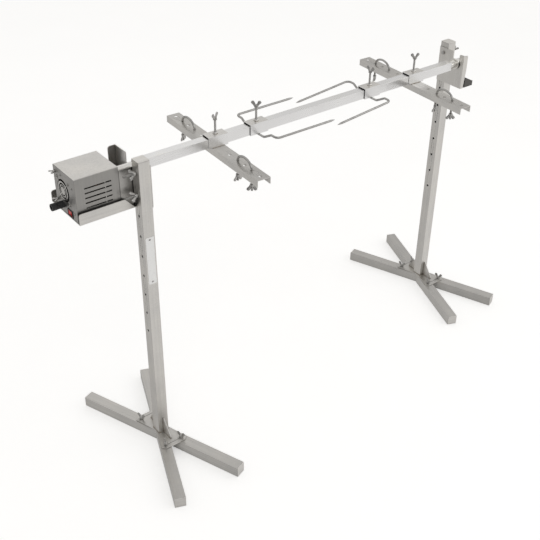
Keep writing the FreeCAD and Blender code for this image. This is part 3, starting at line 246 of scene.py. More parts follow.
# ---- Materials ----
class Paint:
    """A procedural material: its node tree, with short calls for the nodes it needs."""

    def __init__(self, name):
        self.material = bpy.data.materials.new(name)
        self.material.use_nodes = True
        self.tree = self.material.node_tree
        self.surface = self.tree.nodes["Principled BSDF"]
        self.place = self.node("ShaderNodeTexCoord").outputs["Object"]

    def node(self, kind, inputs=None, **settings):
        made = self.tree.nodes.new(kind)
        for key, value in settings.items():
            setattr(made, key, value)
        for key, value in (inputs or {}).items():
            self.feed(made.inputs[key], value)
        return made

    def feed(self, socket, value):
        if isinstance(value, bpy.types.NodeSocket):
            self.tree.links.new(value, socket)
        else:
            socket.default_value = value

    def math(self, operation, first, second=0.0):
        return self.node("ShaderNodeMath", {0: first, 1: second}, operation=operation).outputs[0]

    def scaled(self, vector, factor):
        made = self.node("ShaderNodeVectorMath", {0: vector, "Scale": factor}, operation="SCALE")
        return made.outputs["Vector"]

    def run(self, axis):
        """Distance along an axis."""
        made = self.node("ShaderNodeVectorMath", {0: self.place, 1: axis}, operation="DOT_PRODUCT")
        return made.outputs["Value"]

    def noise(self, vector, scale, detail=3.0):
        made = self.node("ShaderNodeTexNoise", {"Vector": vector, "Scale": scale, "Detail": detail})
        return made.outputs[0]

    def streaks(self, grain, across, along, detail=3.0):
        """Noise drawn out along the grain, in waves per metre across it and along it."""
        line = self.scaled(grain, self.math("MULTIPLY", self.run(grain), along - across))
        wide = self.scaled(self.place, across)
        place = self.node("ShaderNodeVectorMath", {0: line, 1: wide}, operation="ADD")
        return self.noise(place.outputs["Vector"], 1.0, detail)

    def rings(self, axis, per_metre):
        """Noise that changes only along an axis, as turning marks do."""
        return self.noise(self.scaled(axis, self.math("MULTIPLY", self.run(axis), per_metre)), 1.0)

    def ramp(self, value, low, high, start=0.0, end=1.0):
        """The value's span from low to high, stretched to run from start to end."""
        made = self.node("ShaderNodeMapRange", {0: value, 1: low, 2: high, 3: start, 4: end})
        return made.outputs[0]

    def blend(self, share, first, second):
        made = self.node("ShaderNodeMix", {0: share, 6: first, 7: second}, data_type="RGBA")
        return made.outputs[2]

    def dimmed(self, colour, factor):
        """A colour times a number."""
        if isinstance(colour, tuple):
            colour = colour[:3]
        made = self.node("ShaderNodeVectorMath", {0: colour, "Scale": factor}, operation="SCALE")
        return made.outputs["Vector"]

    def worn_edges(self, radius):
        """1 on edges rounded by wear, 0 on flat faces."""
        soft = self.node("ShaderNodeBevel", {"Radius": radius * MM}, samples=4).outputs[0]
        flat = self.node("ShaderNodeNewGeometry").outputs["Normal"]
        close = self.node("ShaderNodeVectorMath", {0: soft, 1: flat}, operation="DOT_PRODUCT")
        return self.ramp(close.outputs["Value"], 0.995, 0.9)

    def facing_up(self):
        """How far the surface looks up: 1 level, 0 upright, -1 from below."""
        normal = self.node("ShaderNodeNewGeometry").outputs["True Normal"]
        return self.node("ShaderNodeSeparateXYZ", {0: normal}).outputs["Z"]

    def corner_shade(self, distance):
        """How much light reaches a point, for painting shade: 1 in the open, falling towards 0 deep in
        a corner.
        """
        made = self.node("ShaderNodeAmbientOcclusion", {"Distance": distance * MM}, samples=4)
        return made.outputs["AO"]

    def raised(self, height, distance, strength=1.0):
        """Feeds a height in millimetres to the surface's normal."""
        made = self.node("ShaderNodeBump", {"Strength": strength, "Distance": distance * MM,
                                            "Height": height})
        self.feed(self.surface.inputs["Normal"], made.outputs[0])

    def finish(self, colour, roughness, metallic=0.0, **others):
        self.feed(self.surface.inputs["Base Color"], colour)
        self.feed(self.surface.inputs["Roughness"], roughness)
        self.feed(self.surface.inputs["Metallic"], metallic)
        for key, value in others.items():
            self.feed(self.surface.inputs[key.replace("_", " ")], value)
        return self.material


def grey(level, warmth=0.03):
    """A grey that leans to straw as stainless steel does."""
    return (level * (1 + warmth / 2), level, level * (1 - warmth), 1.0)


def steel(name, level, roughness, grain, fine=1500.0, polish=0.0, turned=False, warmth=0.035,
          painted_top_light=1.0):
    """Stainless steel with its grain along an axis, or with turning marks around it.

    The last argument scales the colour of a face that looks up, beside an upright one: painted light on
    tops above 1, painted shade below 1.
    """
    paint = Paint(name)
    if turned:
        lines = paint.rings(grain, fine)
        bands = paint.rings(grain, fine / 9)
    else:
        lines = paint.streaks(grain, fine, fine / 90)
        bands = paint.streaks(grain, fine / 9, 4.0)
    clouds = paint.noise(paint.place, 11.0, 5.0)
    specks = paint.noise(paint.place, 420.0, 2.0)
    cross = Vector((0.45, 0.62, -0.64)).normalized()
    scratches = paint.ramp(paint.streaks(cross, 260.0, 9.0, 1.0), 0.70, 0.78)
    depth = 1.0 - polish
    # Bands, clouds and specks vary the tone, and painted shade darkens it in corners between surfaces.
    tone = paint.math("MULTIPLY_ADD", bands, 0.34 * depth)
    tone = paint.math("ADD", tone, 1.0 - 0.17 * depth)
    tone = paint.math("MULTIPLY", tone, paint.ramp(clouds, 0.3, 0.7, 0.93, 1.06))
    tone = paint.math("MULTIPLY", tone, paint.ramp(specks, 0.3, 0.7, 0.95, 1.04))
    tone = paint.math("MULTIPLY", tone, paint.ramp(paint.corner_shade(9.0), 0.15, 0.8, 0.45, 1.0))
    # Painted light and shade: a face that looks up is lightened or darkened beside an upright one.
    tone = paint.math("MULTIPLY", tone, paint.ramp(paint.facing_up(), 0.5, 1.0, 1.0, painted_top_light))
    worn = paint.worn_edges(1.2)
    plain = paint.blend(paint.ramp(clouds, 0.35, 0.75), grey(level, warmth), grey(level, warmth * 1.4))
    colour = paint.blend(paint.math("MULTIPLY", worn, 0.6), paint.dimmed(plain, tone),
                         grey(min(level * 1.22, 0.93)))
    # Painted shade: deep corners and holes are darkened nearly to black.
    colour = paint.dimmed(colour, paint.ramp(paint.corner_shade(70.0), 0.10, 0.30, 0.01, 1.0))
    # Lines and scratches spread the reflection, and worn edges are smoother.
    rough = paint.ramp(lines, 0.25, 0.75, roughness - 0.07 * depth, roughness + 0.09 * depth)
    rough = paint.math("ADD", rough, paint.ramp(clouds, 0.3, 0.8, -0.03, 0.07))
    rough = paint.math("SUBTRACT", rough, paint.math("MULTIPLY", worn, 0.08))
    rough = paint.math("ADD", rough, paint.math("MULTIPLY", scratches, 0.10))
    height = paint.math("ADD", lines, paint.math("MULTIPLY", bands, 0.7))
    height = paint.math("SUBTRACT", height, paint.math("MULTIPLY", scratches, 0.5))
    paint.raised(height, 0.05 * (1.0 - 0.7 * polish), 0.55)
    lay = paint.node("ShaderNodeVectorTransform", {0: grain}, vector_type="VECTOR",
                     convert_from="OBJECT", convert_to="WORLD").outputs[0]
    return paint.finish(colour, rough, 1.0, Anisotropic=0.0 if turned else 0.45 * depth, Tangent=lay)


def moulded(name, colour, roughness, grain_size, coat=0.0):
    """Moulded plastic with a fine sparked grain, faint flow marks and paler worn edges."""
    paint = Paint(name)
    grain = paint.noise(paint.place, grain_size, 2.0)
    flow = paint.noise(paint.place, 24.0, 4.0)
    dust = paint.ramp(paint.noise(paint.place, 150.0, 5.0), 0.55, 0.75)
    worn = paint.worn_edges(0.7)
    pale = tuple(min(1.0, part * 1.9 + 0.05) for part in colour[:3]) + (1.0,)
    shade = paint.dimmed(colour, paint.ramp(flow, 0.3, 0.7, 0.82, 1.18))
    shade = paint.blend(paint.math("MULTIPLY", dust, 0.12), shade, pale)
    shade = paint.blend(paint.math("MULTIPLY", worn, 0.35), shade, pale)
    rough = paint.ramp(flow, 0.3, 0.7, roughness - 0.06, roughness + 0.08)
    paint.raised(grain, 0.08, 0.6)
    return paint.finish(shade, rough, 0.0, Coat_Weight=coat)


def coil_material():
    """Lacquered copper wire laid around the motor's axis."""
    paint = Paint("copper_winding")
    turns = paint.node("ShaderNodeTexWave", {"Vector": paint.place, "Scale": 190.0, "Distortion": 1.5,
                                             "Detail": 2.0}, bands_direction="X")
    colour = paint.blend(turns.outputs["Fac"], (0.20, 0.07, 0.03, 1.0), (0.66, 0.30, 0.14, 1.0))
    rough = paint.ramp(paint.noise(paint.place, 300.0), 0.3, 0.7, 0.25, 0.45)
    paint.raised(turns.outputs["Fac"], 0.4)
    return paint.finish(colour, rough, 0.9)


def core_material():
    """Stacked electrical sheets, with the edge of each sheet showing as a thin line."""
    paint = Paint("sheet_core")
    sheets = paint.rings(X, 2000.0)
    clouds = paint.noise(paint.place, 60.0, 4.0)
    colour = paint.dimmed(grey(0.17, 0.1), paint.ramp(clouds, 0.3, 0.7, 0.75, 1.25))
    paint.raised(sheets, 0.1)
    return paint.finish(colour, paint.ramp(sheets, 0.3, 0.7, 0.4, 0.6), 0.8)


def label_material():
    """A pale printed-sheet finish with fine crosswise lines and scuffs, without lettering."""
    paint = Paint("blank_label")
    lines = paint.streaks(X, 900.0, 20.0)
    scuffs = paint.ramp(paint.noise(paint.place, 210.0, 6.0), 0.58, 0.72)
    colour = paint.blend(lines, (0.80, 0.80, 0.79, 1.0), (0.90, 0.90, 0.89, 1.0))
    colour = paint.blend(paint.math("MULTIPLY", scuffs, 0.35), colour, (0.58, 0.57, 0.55, 1.0))
    rough = paint.ramp(lines, 0.3, 0.7, 0.32, 0.48)
    paint.raised(lines, 0.03)
    return paint.finish(colour, rough, 0.0)


def weld_material():
    """A weld bead: bright ripples between straw and brown heat tint."""
    paint = Paint("weld_bead")
    tint = paint.noise(paint.place, 130.0, 3.0)
    colour = paint.blend(paint.ramp(tint, 0.35, 0.7), (0.50, 0.48, 0.45, 1.0), (0.33, 0.27, 0.20, 1.0))
    rough = paint.ramp(paint.noise(paint.place, 900.0), 0.3, 0.7, 0.25, 0.5)
    paint.raised(paint.noise(paint.place, 1300.0), 0.12)
    return paint.finish(colour, rough, 1.0)


def cast_material():
    """Bright plated castings and rods: nearly mirror, with tiny pits and rubbed edges."""
    paint = Paint("plated_steel")
    pits = paint.ramp(paint.noise(paint.place, 900.0, 2.0), 0.62, 0.7)
    clouds = paint.noise(paint.place, 70.0, 4.0)
    worn = paint.worn_edges(0.8)
    shade = paint.dimmed(grey(0.56, 0.03), paint.ramp(clouds, 0.3, 0.7, 0.8, 1.1))
    # Painted shade: small corners and recesses are darkened.
    shade = paint.dimmed(shade, paint.ramp(paint.corner_shade(4.0), 0.1, 0.85, 0.2, 1.0))
    shade = paint.blend(paint.math("MULTIPLY", worn, 0.4), shade, grey(0.88))
    rough = paint.math("ADD", paint.ramp(clouds, 0.3, 0.75, 0.14, 0.26),
                       paint.math("MULTIPLY", pits, 0.15))
    paint.raised(paint.math("SUBTRACT", clouds, pits), 0.06, 0.5)
    return paint.finish(shade, rough, 1.0)


def direction(degrees):
    return Vector((math.cos(math.radians(degrees)), math.sin(math.radians(degrees)), 0))


LEG_ANGLE = 68.8
LEG_ANGLES = {"left": 180 - LEG_ANGLE, "right": -LEG_ANGLE, "front": LEG_ANGLE - 180, "back": LEG_ANGLE}
# Painted shade: tube and sheet tops are darkened to 0.8 of their upright faces.
TUBE = {"level": 0.53, "roughness": 0.33, "painted_top_light": 0.80}
SHEET = {"level": 0.54, "roughness": 0.33, "painted_top_light": 0.80}

tube_upright = steel("tube_grain_upright", grain=Z, **TUBE)
leg_materials = {leg: steel(f"leg_grain_{leg}", grain=direction(angle), **TUBE)
                 for leg, angle in LEG_ANGLES.items()}
sheet_along = steel("sheet_grain_along", grain=X, **SHEET)
sheet_across = steel("sheet_grain_across", grain=Y, **SHEET)
sheet_upright = steel("sheet_grain_upright", grain=Z, **SHEET)
# Painted shade: the spit's and collars' tops are darkened beside their sides.
spit_finish = steel("spit_grain", 0.96, 0.28, X, painted_top_light=0.74)
collar_finish = steel("collar_grain", 0.90, 0.30, X, painted_top_light=0.62)
# Painted shade and light: the housing's cover and end plate are steel darkened as if in shade, and the
# cover's top is lightened nearly twice over.
housing_painted_shade = steel("housing_steel_painted_shade", 0.285, 0.36, Z, painted_top_light=1.95)
end_plate_painted_shade = steel("housing_end_painted_shade", 0.32, 0.36, Z)
# Painted shade: the coupling guard is steel darkened as if in shade.
guard_sheet_shade = steel("sheet_grain_shaded", 0.36, 0.36, Z)
# Painted shade: the cradle shelf is steel darkened nearly to black, as if deep in shade.
shaded_sheet = steel("sheet_grain_painted_deep_shade", 0.11, 0.42, Y)
cap_finish = steel("cap_satin", 0.60, 0.42, X, fine=900.0)
turned = steel("turned_steel", 0.66, 0.22, X, fine=1300.0, polish=0.3, turned=True)
guard_finish = steel("guard_polish", 0.46, 0.24, Y, fine=700.0, polish=0.5)
plated = cast_material()
weld_finish = weld_material()
brass = steel("bush_brass", 0.50, 0.28, X, turned=True, warmth=0.55)
black = moulded("black_plastic", (0.022, 0.022, 0.023, 1.0), 0.44, 1500.0)
red = moulded("red_plastic", (0.56, 0.018, 0.012, 1.0), 0.27, 900.0, coat=0.4)
label_finish = label_material()
copper = coil_material()
core = core_material()

FINISHES = {
    "motor_post": tube_upright, "support_post": tube_upright, "spit_tube": spit_finish,
    "base_plates": sheet_across, "base_gussets": sheet_upright, "tube_caps": cap_finish,
    "motor_bracket": sheet_along, "cradle_bracket": sheet_upright, "cradle_shelf": shaded_sheet,
    "label_plate": label_finish, "coupling_guard": guard_sheet_shade, "motor_cover": housing_painted_shade,
    "motor_end_plate": end_plate_painted_shade, "fan_guard": guard_finish, "switch_bezel": black,
    "drive_plate": sheet_across, "gear_plate": sheet_across, "gear_pillars": turned,
    "shaft_bushes": brass, "stator": core, "stator_windings": copper, "motor_end_frames": core,
    "rotor": turned, "countershaft": turned, "output_gear": turned, "output_shaft": turned,
    "drive_journal": turned, "cradle_journal": turned,
}
for stand in ("motor", "support"):
    for leg, finish in leg_materials.items():
        FINISHES[f"{stand}_leg_{leg}"] = finish
for item in ("fork_a", "fork_b", "clamp_a", "clamp_b"):
    FINISHES[f"{item}_collar"] = collar_finish
for item in ("clamp_a", "clamp_b"):
    FINISHES[f"{item}_channel"] = sheet_across

ROUNDED = {"tube_caps": 1.2, "spit_tube": 0.9, "motor_post": 0.8, "support_post": 0.8,
           "motor_cover": 0.5, "motor_end_plate": 0.4, "coupling_guard": 0.4, "motor_bracket": 0.7,
           "cradle_bracket": 0.7, "cradle_shelf": 0.7, "base_plates": 0.7, "base_gussets": 0.7,
           "label_plate": 0.3, "fan_guard": 0.4, "switch_bezel": 0.4, "drive_journal": 0.8,
           "cradle_journal": 0.8, "output_shaft": 0.6}

for name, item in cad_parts.items():
    finish = FINISHES.get(name, plated)
    item.data.materials.clear()
    item.data.materials.append(finish)
    if name in ROUNDED:
        soften(item, ROUNDED[name])
    elif "_leg_" in name or name.endswith(("_collar", "_channel")):
        soften(item, 0.6)


# ---- Fasteners ----
THREAD_RADIUS = 4.0
THREAD_PITCH = 1.25
THREAD_DEPTH = 0.62
THREAD_STEP = THREAD_PITCH / 6
WING_RISE = 57.0
SCREW_GRIP = 20.0


def threaded(start, end):
    """Radius of an M8 rod that is threaded between two distances along its path."""
    def radius(distance, angle):
        if not start <= distance <= end:
            return THREAD_RADIUS
        phase = (distance / THREAD_PITCH - angle / math.tau) % 1.0
        fade = min(1.0, (distance - start) / THREAD_PITCH, (end - distance) / THREAD_PITCH)
        return THREAD_RADIUS - THREAD_DEPTH * fade * abs(2 * phase - 1)
    return radius


def stud(length, thread_length, tip=1.0):
    """A rod along Z from the origin, threaded from its chamfered tip."""
    path = divided([Vector((0, 0, 0)), Vector((0, 0, thread_length))], THREAD_STEP)
    path.append(Vector((0, 0, length)))
    thread = threaded(0.0, thread_length)

    def radius(distance, angle):
        return thread(distance, angle) - max(0.0, tip - distance)
    return sweep(path, radius, 18)


def ear(rise):
    """One wing of a grip: a web that narrows from the hub and ends in a round, slightly thinner pad."""
    along = Vector((math.cos(rise), 0, math.sin(rise)))
    across = Vector((-math.sin(rise), 0, math.cos(rise)))
    root = Vector((3, 0, 5))
    sections = ((-3.0, 4.6, 3.8), (2.0, 4.6, 3.4), (6.0, 4.4, 2.7), (9.5, 4.9, 2.4), (12.5, 5.9, 2.4),
                (15.5, 6.4, 2.5), (18.4, 5.8, 2.3), (20.2, 4.2, 1.8), (21.2, 1.6, 0.8))
    rings = []
    for reach, width, thickness in sections:
        centre = root + along * reach
        rings.append([centre + across * point.x * width + Y * point.y * thickness
                      for point in circle(1.0, 0.0, 20)])
    return skin(rings)


def wing_grip():
    """The cast grip of a wing screw or wing nut, with its hub on the origin and its wings up."""
    hub = lathe(((6.2, 0.0), (7.0, 0.7), (6.6, 5.0), (5.6, 9.4), (4.9, 10.0), (3.4, 10.4)))
    rough = Shape().join(hub)
    for side in (0, 180):
        rough.join(ear(math.radians(WING_RISE)).placed(about("Z", side)))
    return fused(rough, 0.42, 5, 0.30)


GRIP = wing_grip()


def wing_screw(length):
    return Shape().join(stud(length + 2.0, length - 0.5), GRIP.placed(at(0, 0, length)))


def hexagon_radius(corner):
    """Radius of a hexagon at an angle, from the radius of its corners."""
    flat = corner * math.cos(math.pi / 6)
    return lambda angle: flat / math.cos((angle % (math.pi / 3)) - math.pi / 6)


def hex_head(corner, height):
    """A bolt head on the origin with its outer edge chamfered in the round."""
    plain = hexagon_radius(corner)
    rings = [circle(0, 0.0, 48, plain)]
    for step, level in enumerate((height - 1.2, height - 0.6, height)):
        limit = corner - 0.95 * step
        rings.append(circle(0, level, 48, lambda angle: min(plain(angle), limit)))
    rings.append(circle(corner * 0.74, height, 48))
    rings.append(circle(corner * 0.70, height - 0.25, 48))
    return skin(rings)


def cross_head(radius, height):
    """A domed screw head on the origin with a cross recess."""
    sides = 48
    arm_length = radius * 0.55
    arm_half = radius * 0.14
    rings = [circle(radius, 0.0, sides), circle(radius, height * 0.35, sides)]
    for step in range(1, 13):
        share = 1 - step / 12.6
        ring = []
        for point in circle(radius * share, 0.0, sides):
            crown = height * (1 - 0.62 * share * share)
            near, far = sorted((abs(point.x), abs(point.y)))
            sunk = near < arm_half and far < arm_length
            ring.append(Vector((point.x, point.y, crown - (height * 0.55 if sunk else 0.0))))
        rings.append(ring)
    return skin(rings)


def dome(radius, height):
    """A rivet head on the origin."""
    steps = 8
    outline = [(radius, 0.0)]
    for step in range(1, steps + 1):
        angle = math.pi / 2 * step / (steps + 0.4)
        outline.append((radius * math.cos(angle), height * math.sin(angle)))
    return lathe(outline)


post_centres = {stand: box_mm(f"{stand}_post")[2] for stand in ("motor", "support")}
plate_top = box_mm("base_plates")[1].z
spit_centre = box_mm("spit_tube")[2]
housing_left = box_mm("motor_cover")[0].x
POST_HALF = 20.0
LEG_SCREW_REACH = 91.0
END_WING_SCREWS = ((150.0, 1112.0), (150.0, 1017.0))
END_SCREW_SHARE = 0.7

for stand, centre in post_centres.items():
    for leg, angle in LEG_ANGLES.items():
        foot = centre + direction(angle) * LEG_SCREW_REACH
        place = at(foot.x, foot.y, plate_top - SCREW_GRIP, about("Z", angle))
        piece(f"leg_wing_screw_{stand}_{leg}", wing_screw(SCREW_GRIP).placed(place), "stand",
              plated, ["wing_screws"])
for number, (y, z) in enumerate(END_WING_SCREWS, start=1):
    grip = SCREW_GRIP * END_SCREW_SHARE
    place = at(housing_left + grip, y, z, TO_LEFT @ about("Z", 90) @ Matrix.Scale(END_SCREW_SHARE, 4))
    piece(f"end_wing_screw_{number}", wing_screw(SCREW_GRIP).placed(place), "stand",
          plated, ["wing_screws"])

SCREW_TURNS = {"fork_a": -40.0, "fork_b": 280.0, "clamp_a": 22.1, "clamp_b": -22.9}
for carrier, turn in SCREW_TURNS.items():
    low, high, centre = box_mm(f"{carrier}_screw")
    place = at(centre.x, centre.y, low.z, about("Z", turn))
    piece(f"{carrier}_setting_screw", wing_screw(54.0).placed(place), f"{carrier}_screw",
          plated, [f"{carrier}_screw"])

BOLT_LENGTH = 86.0
BOLT_LEVELS = (1107.0, 1032.0)
bolt = Shape().join(stud(BOLT_LENGTH, 62.0).placed(at(0, 0, BOLT_LENGTH, DOWN)),
                    hex_head(7.5, 5.3).placed(DOWN))
bolt_faces = {"motor": (box_mm("motor_bracket")[1].x, TO_LEFT),
              "support": (box_mm("cradle_bracket")[0].x, TO_RIGHT)}
for stand, (face, turn) in bolt_faces.items():
    centre = post_centres[stand]
    toward = -1 if stand == "motor" else 1
    for number, level in enumerate(BOLT_LEVELS, start=1):
        place = at(face, centre.y, level, turn)
        piece(f"bracket_bolt_{stand}_{number}", bolt.placed(place), "stand",
              plated, ["bracket_bolts"])
        place = at(centre.x + toward * POST_HALF, centre.y, level, turn @ about("Z", 16 * number))
        piece(f"bracket_wing_nut_{stand}_{number}", GRIP.placed(place), "stand",
              plated, ["bracket_wing_nuts"])

GUARD_AXIS = box_mm("fan_guard")[2]
GUARD_SCREW_REACH = 35.75
EDGE_SCREWS = ((44.0, 1096.0), (44.0, 1010.0), (114.0, 1113.0))
small_screws = [(housing_left - 1.6, GUARD_AXIS.y + side * GUARD_SCREW_REACH,
                 GUARD_AXIS.z + level * GUARD_SCREW_REACH) for side in (-1, 1) for level in (-1, 1)]
small_screws += [(housing_left, y, z) for y, z in EDGE_SCREWS]
for number, (x, y, z) in enumerate(small_screws, start=1):
    place = at(x, y, z, TO_LEFT @ about("Z", 37 * number))
    piece(f"end_screw_{number}", cross_head(3.8, 2.4).placed(place), "stand",
          plated, ["end_plate_screws"], sharp=25.0)

label_low, label_high, label_centre = box_mm("label_plate")
for number, level in enumerate((label_low.z + 9, label_high.z - 9), start=1):
    place = at(label_centre.x, label_low.y, level, TO_FRONT)
    piece(f"label_rivet_{number}", dome(3.5, 1.7).placed(place), "stand", plated,
          ["label_rivets"])


# ---- Forks, U bolts and clamp nuts ----
PRONG_RADIUS = 4.0
PRONG_POINT = 24.0
PRONG_LENGTH = 252.0
FORK_SETBACK = 38.0
FORK_ROD_DROP = 22.1
FORK_INNER_BEND = 44.0
FORK_OUTER_BEND = 84.0
FORK_HALF_WIDTH = 115.0
FORK_BEND_RADIUS = 16.0
FORKS = {"fork_a": (0.0, 0.0), "fork_b": (180.0, 5.5)}


def prongs(droop):
    """Both prongs and their cross rod in one bent rod with drawn-out points."""
    tilt = math.radians(droop)
    along = Vector((math.cos(tilt), 0, -math.sin(tilt)))
    elbow = Vector((FORK_SETBACK, FORK_HALF_WIDTH, 0))
    half = [Vector((FORK_SETBACK, FORK_INNER_BEND, -FORK_ROD_DROP)),
            Vector((FORK_SETBACK, FORK_OUTER_BEND, 0)), elbow, elbow + along * PRONG_LENGTH]
    mirrored = [Vector((point.x, -point.y, point.z)) for point in reversed(half)]
    path = rounded(mirrored + half, FORK_BEND_RADIUS)
    ends = [path[0].lerp(path[1], step / 120) for step in range(14)]
    path = ends + path[1:-1] + [path[-1].lerp(path[-2], step / 120) for step in range(13, -1, -1)]
    length = sum((end - start).length for start, end in zip(path, path[1:]))

    def radius(distance, angle):
        left = min(distance, length - distance) / PRONG_POINT
        if left >= 1:
            return PRONG_RADIUS
        return max(0.35, PRONG_RADIUS * math.sin(math.pi / 2 * left) ** 0.8)
    return sweep(path, radius, 20)


for fork, (facing, droop) in FORKS.items():
    low, high, centre = box_mm(f"{fork}_collar")
    start = low.x if facing == 0.0 else high.x
    place = at(start, spit_centre.y, spit_centre.z, about("Z", facing))
    piece(f"{fork}_prong_rod", prongs(droop).placed(place), fork, plated,
          [f"{fork}_prongs"])

CLAMP_TURN = -2.9
U_BOLT_SITE = 176.0
U_BOLT_HALF = 41.0
U_BOLT_RISE = 27.5
NUT_HANG = 49.0
LEG_DROP = 72.0
U_THREAD_LENGTH = 42.0


def u_bolt():
    """A U bolt over the origin: a flattened arch, and legs that are threaded from their feet."""
    foot = Vector((0, -U_BOLT_HALF, -LEG_DROP))
    path = divided([foot, foot + Z * U_THREAD_LENGTH], THREAD_STEP)
    steps = 40
    for step in range(steps + 1):
        angle = math.pi * (1 - step / steps)
        path.append(Vector((0, U_BOLT_HALF * math.cos(angle), U_BOLT_RISE * math.sin(angle))))
    foot = Vector((0, U_BOLT_HALF, -LEG_DROP))
    path += divided([foot + Z * U_THREAD_LENGTH, foot], THREAD_STEP)
    length = sum((end - start).length for start, end in zip(path, path[1:]))
    near = threaded(0.0, U_THREAD_LENGTH)
    far = threaded(length - U_THREAD_LENGTH, length)

    def radius(distance, angle):
        size = near(distance, angle) if distance < length / 2 else far(distance, angle)
        return size - max(0.0, 1.0 - min(distance, length - distance))
    return sweep(path, radius, 18)


for clamp in ("clamp_a", "clamp_b"):
    collar = box_mm(f"{clamp}_collar")[2]
    top = box_mm(f"{clamp}_channel")[1].z
    whole = at(collar.x, spit_centre.y, top, about("Z", CLAMP_TURN))
    for side in (-1, 1):
        site = side * U_BOLT_SITE
        word = "near" if side < 0 else "far"
        piece(f"{clamp}_u_bolt_{word}", u_bolt().placed(whole @ at(0, site, -1)),
              f"{clamp}_u_bolts", plated, [f"{clamp}_u_bolts"])
        for number, leg_side in enumerate((-1, 1), start=1):
            turn = about("Z", 12 * side + 18 * leg_side) @ DOWN
            place = whole @ at(0, site + leg_side * U_BOLT_HALF, -NUT_HANG, turn)
            piece(f"{clamp}_wing_nut_{word}_{number}", GRIP.placed(place), f"{clamp}_u_bolts",
                  plated, [f"{clamp}_wing_nuts"])


# ---- Weld beads ----
def bead(path, radius):
    """A rippled bead along a path, sunk half into the corner it fills."""
    ripple = radius * 1.15

    def size(distance, angle):
        wobble = 0.06 * math.sin(distance * 0.9 + angle) + 0.05 * math.sin(distance * 0.37)
        return radius * (0.84 + 0.20 * abs(math.sin(math.pi * distance / ripple)) + wobble)
    return sweep(divided(path, ripple / 5), size, 12)


def weld(name, paths, radius, body, slot="stainless_sheet"):
    shape = Shape()
    for path in paths:
        shape.join(bead([Vector(point) for point in path], radius))
    return piece(name, shape, body, weld_finish, sharp=80.0)


gusset_top = box_mm("base_gussets")[1].z
GUSSET_HALF = 2.0
GUSSET_LENGTH = 50.0
COLLAR_DROP = 18.05
COLLAR_HEIGHT = 40.0
NUT_WELD_RADIUS = 7.9
CHANNEL_HALF = 20.0
COLLAR_SEAM_HALF = 23.0
ROD_SEAM_HALF = 17.0
ROD_SEAM_SIDE = 2.8
for stand, centre in post_centres.items():
    near, far = centre.y - POST_HALF, centre.y + POST_HALF
    left, right = centre.x - POST_HALF, centre.x + POST_HALF
    foot = [(left, near, plate_top), (right, near, plate_top), (right, far, plate_top),
            (left, far, plate_top), (left, near, plate_top)]
    weld(f"{stand}_post_weld", [foot], 2.2, "stand")
    seams = []
    for face, outward in ((near, -1), (far, 1)):
        for side in (-1, 1):
            x = centre.x + side * GUSSET_HALF
            seams.append([(x, face, plate_top + 3), (x, face, gusset_top - 2)])
            toe = face + outward * (GUSSET_LENGTH - 1)
            seams.append([(x, face + outward * 3, plate_top), (x, toe, plate_top)])
    weld(f"{stand}_gusset_welds", seams, 1.7, "stand")

for carrier in SCREW_TURNS:
    centre = box_mm(f"{carrier}_collar")[2]
    ring = circle(NUT_WELD_RADIUS, spit_centre.z - COLLAR_DROP + COLLAR_HEIGHT, 36)
    ring = [point + Vector((centre.x, spit_centre.y, 0)) for point in ring + ring[:1]]
    weld(f"{carrier}_nut_weld", [ring], 1.0, carrier)
for clamp in ("clamp_a", "clamp_b"):
    collar = box_mm(f"{clamp}_collar")[2]
    top = box_mm(f"{clamp}_channel")[1].z
    turn = at(collar.x, spit_centre.y, top, about("Z", CLAMP_TURN))
    seams = [[turn @ Vector((end * COLLAR_SEAM_HALF, side * CHANNEL_HALF, 0)) for end in (-1, 1)]
             for side in (-1, 1)]
    weld(f"{clamp}_collar_welds", seams, 1.7, clamp)
for fork, (facing, droop) in FORKS.items():
    low, high, centre = box_mm(f"{fork}_collar")
    rod_x = (low.x if facing == 0.0 else high.x) + math.cos(math.radians(facing)) * FORK_SETBACK
    seams = []
    for side in (-1, 1):
        x = rod_x + side * ROD_SEAM_SIDE
        seams.append([(x, spit_centre.y + end * ROD_SEAM_HALF, low.z) for end in (-1, 1)])
    weld(f"{fork}_rod_welds", seams, 1.5, fork)


# ---- Fan, gland and switch ----
def fan():
    """The impeller around X: a domed hub and seven twisted blades."""
    hub = lathe(((12.6, -6.5), (13.0, -5.5), (13.0, 4.2), (12.2, 5.6), (9.0, 6.4), (3.0, 6.5)))
    blades = 7
    shape = Shape().join(hub.placed(TO_LEFT))
    for index in range(blades):
        rings = []
        for step in range(9):
            share = step / 8
            radius = 12.0 + 21.2 * share
            tilt = math.radians(52 - 22 * share)
            chord = 6.6 + 1.4 * share
            ring = []
            for point in circle(1.0, 0.0, 16):
                bow = 1.3 * (1 - point.x * point.x)
                lengthwise = Vector((math.cos(tilt), math.sin(tilt), 0)) * point.x * chord * 0.82
                outward = Vector((-math.sin(tilt), math.cos(tilt), 0)) * (point.y * 0.8 + bow)
                ring.append(lengthwise + outward + Vector((0, 0, radius)))
            rings.append(ring)
        shape.join(skin(rings).placed(about("X", 360 / blades * index)))
    return shape


fan_centre = box_mm("fan_impeller")[2]
fan_axis = box_mm("rotor")[2]
piece("cooling_fan", fan().placed(at(fan_centre.x, fan_axis.y, fan_axis.z)), "rotor",
      black, ["fan_impeller"])

gland_centre = box_mm("cable_gland")[2]
GLAND_LENGTH = 40.0


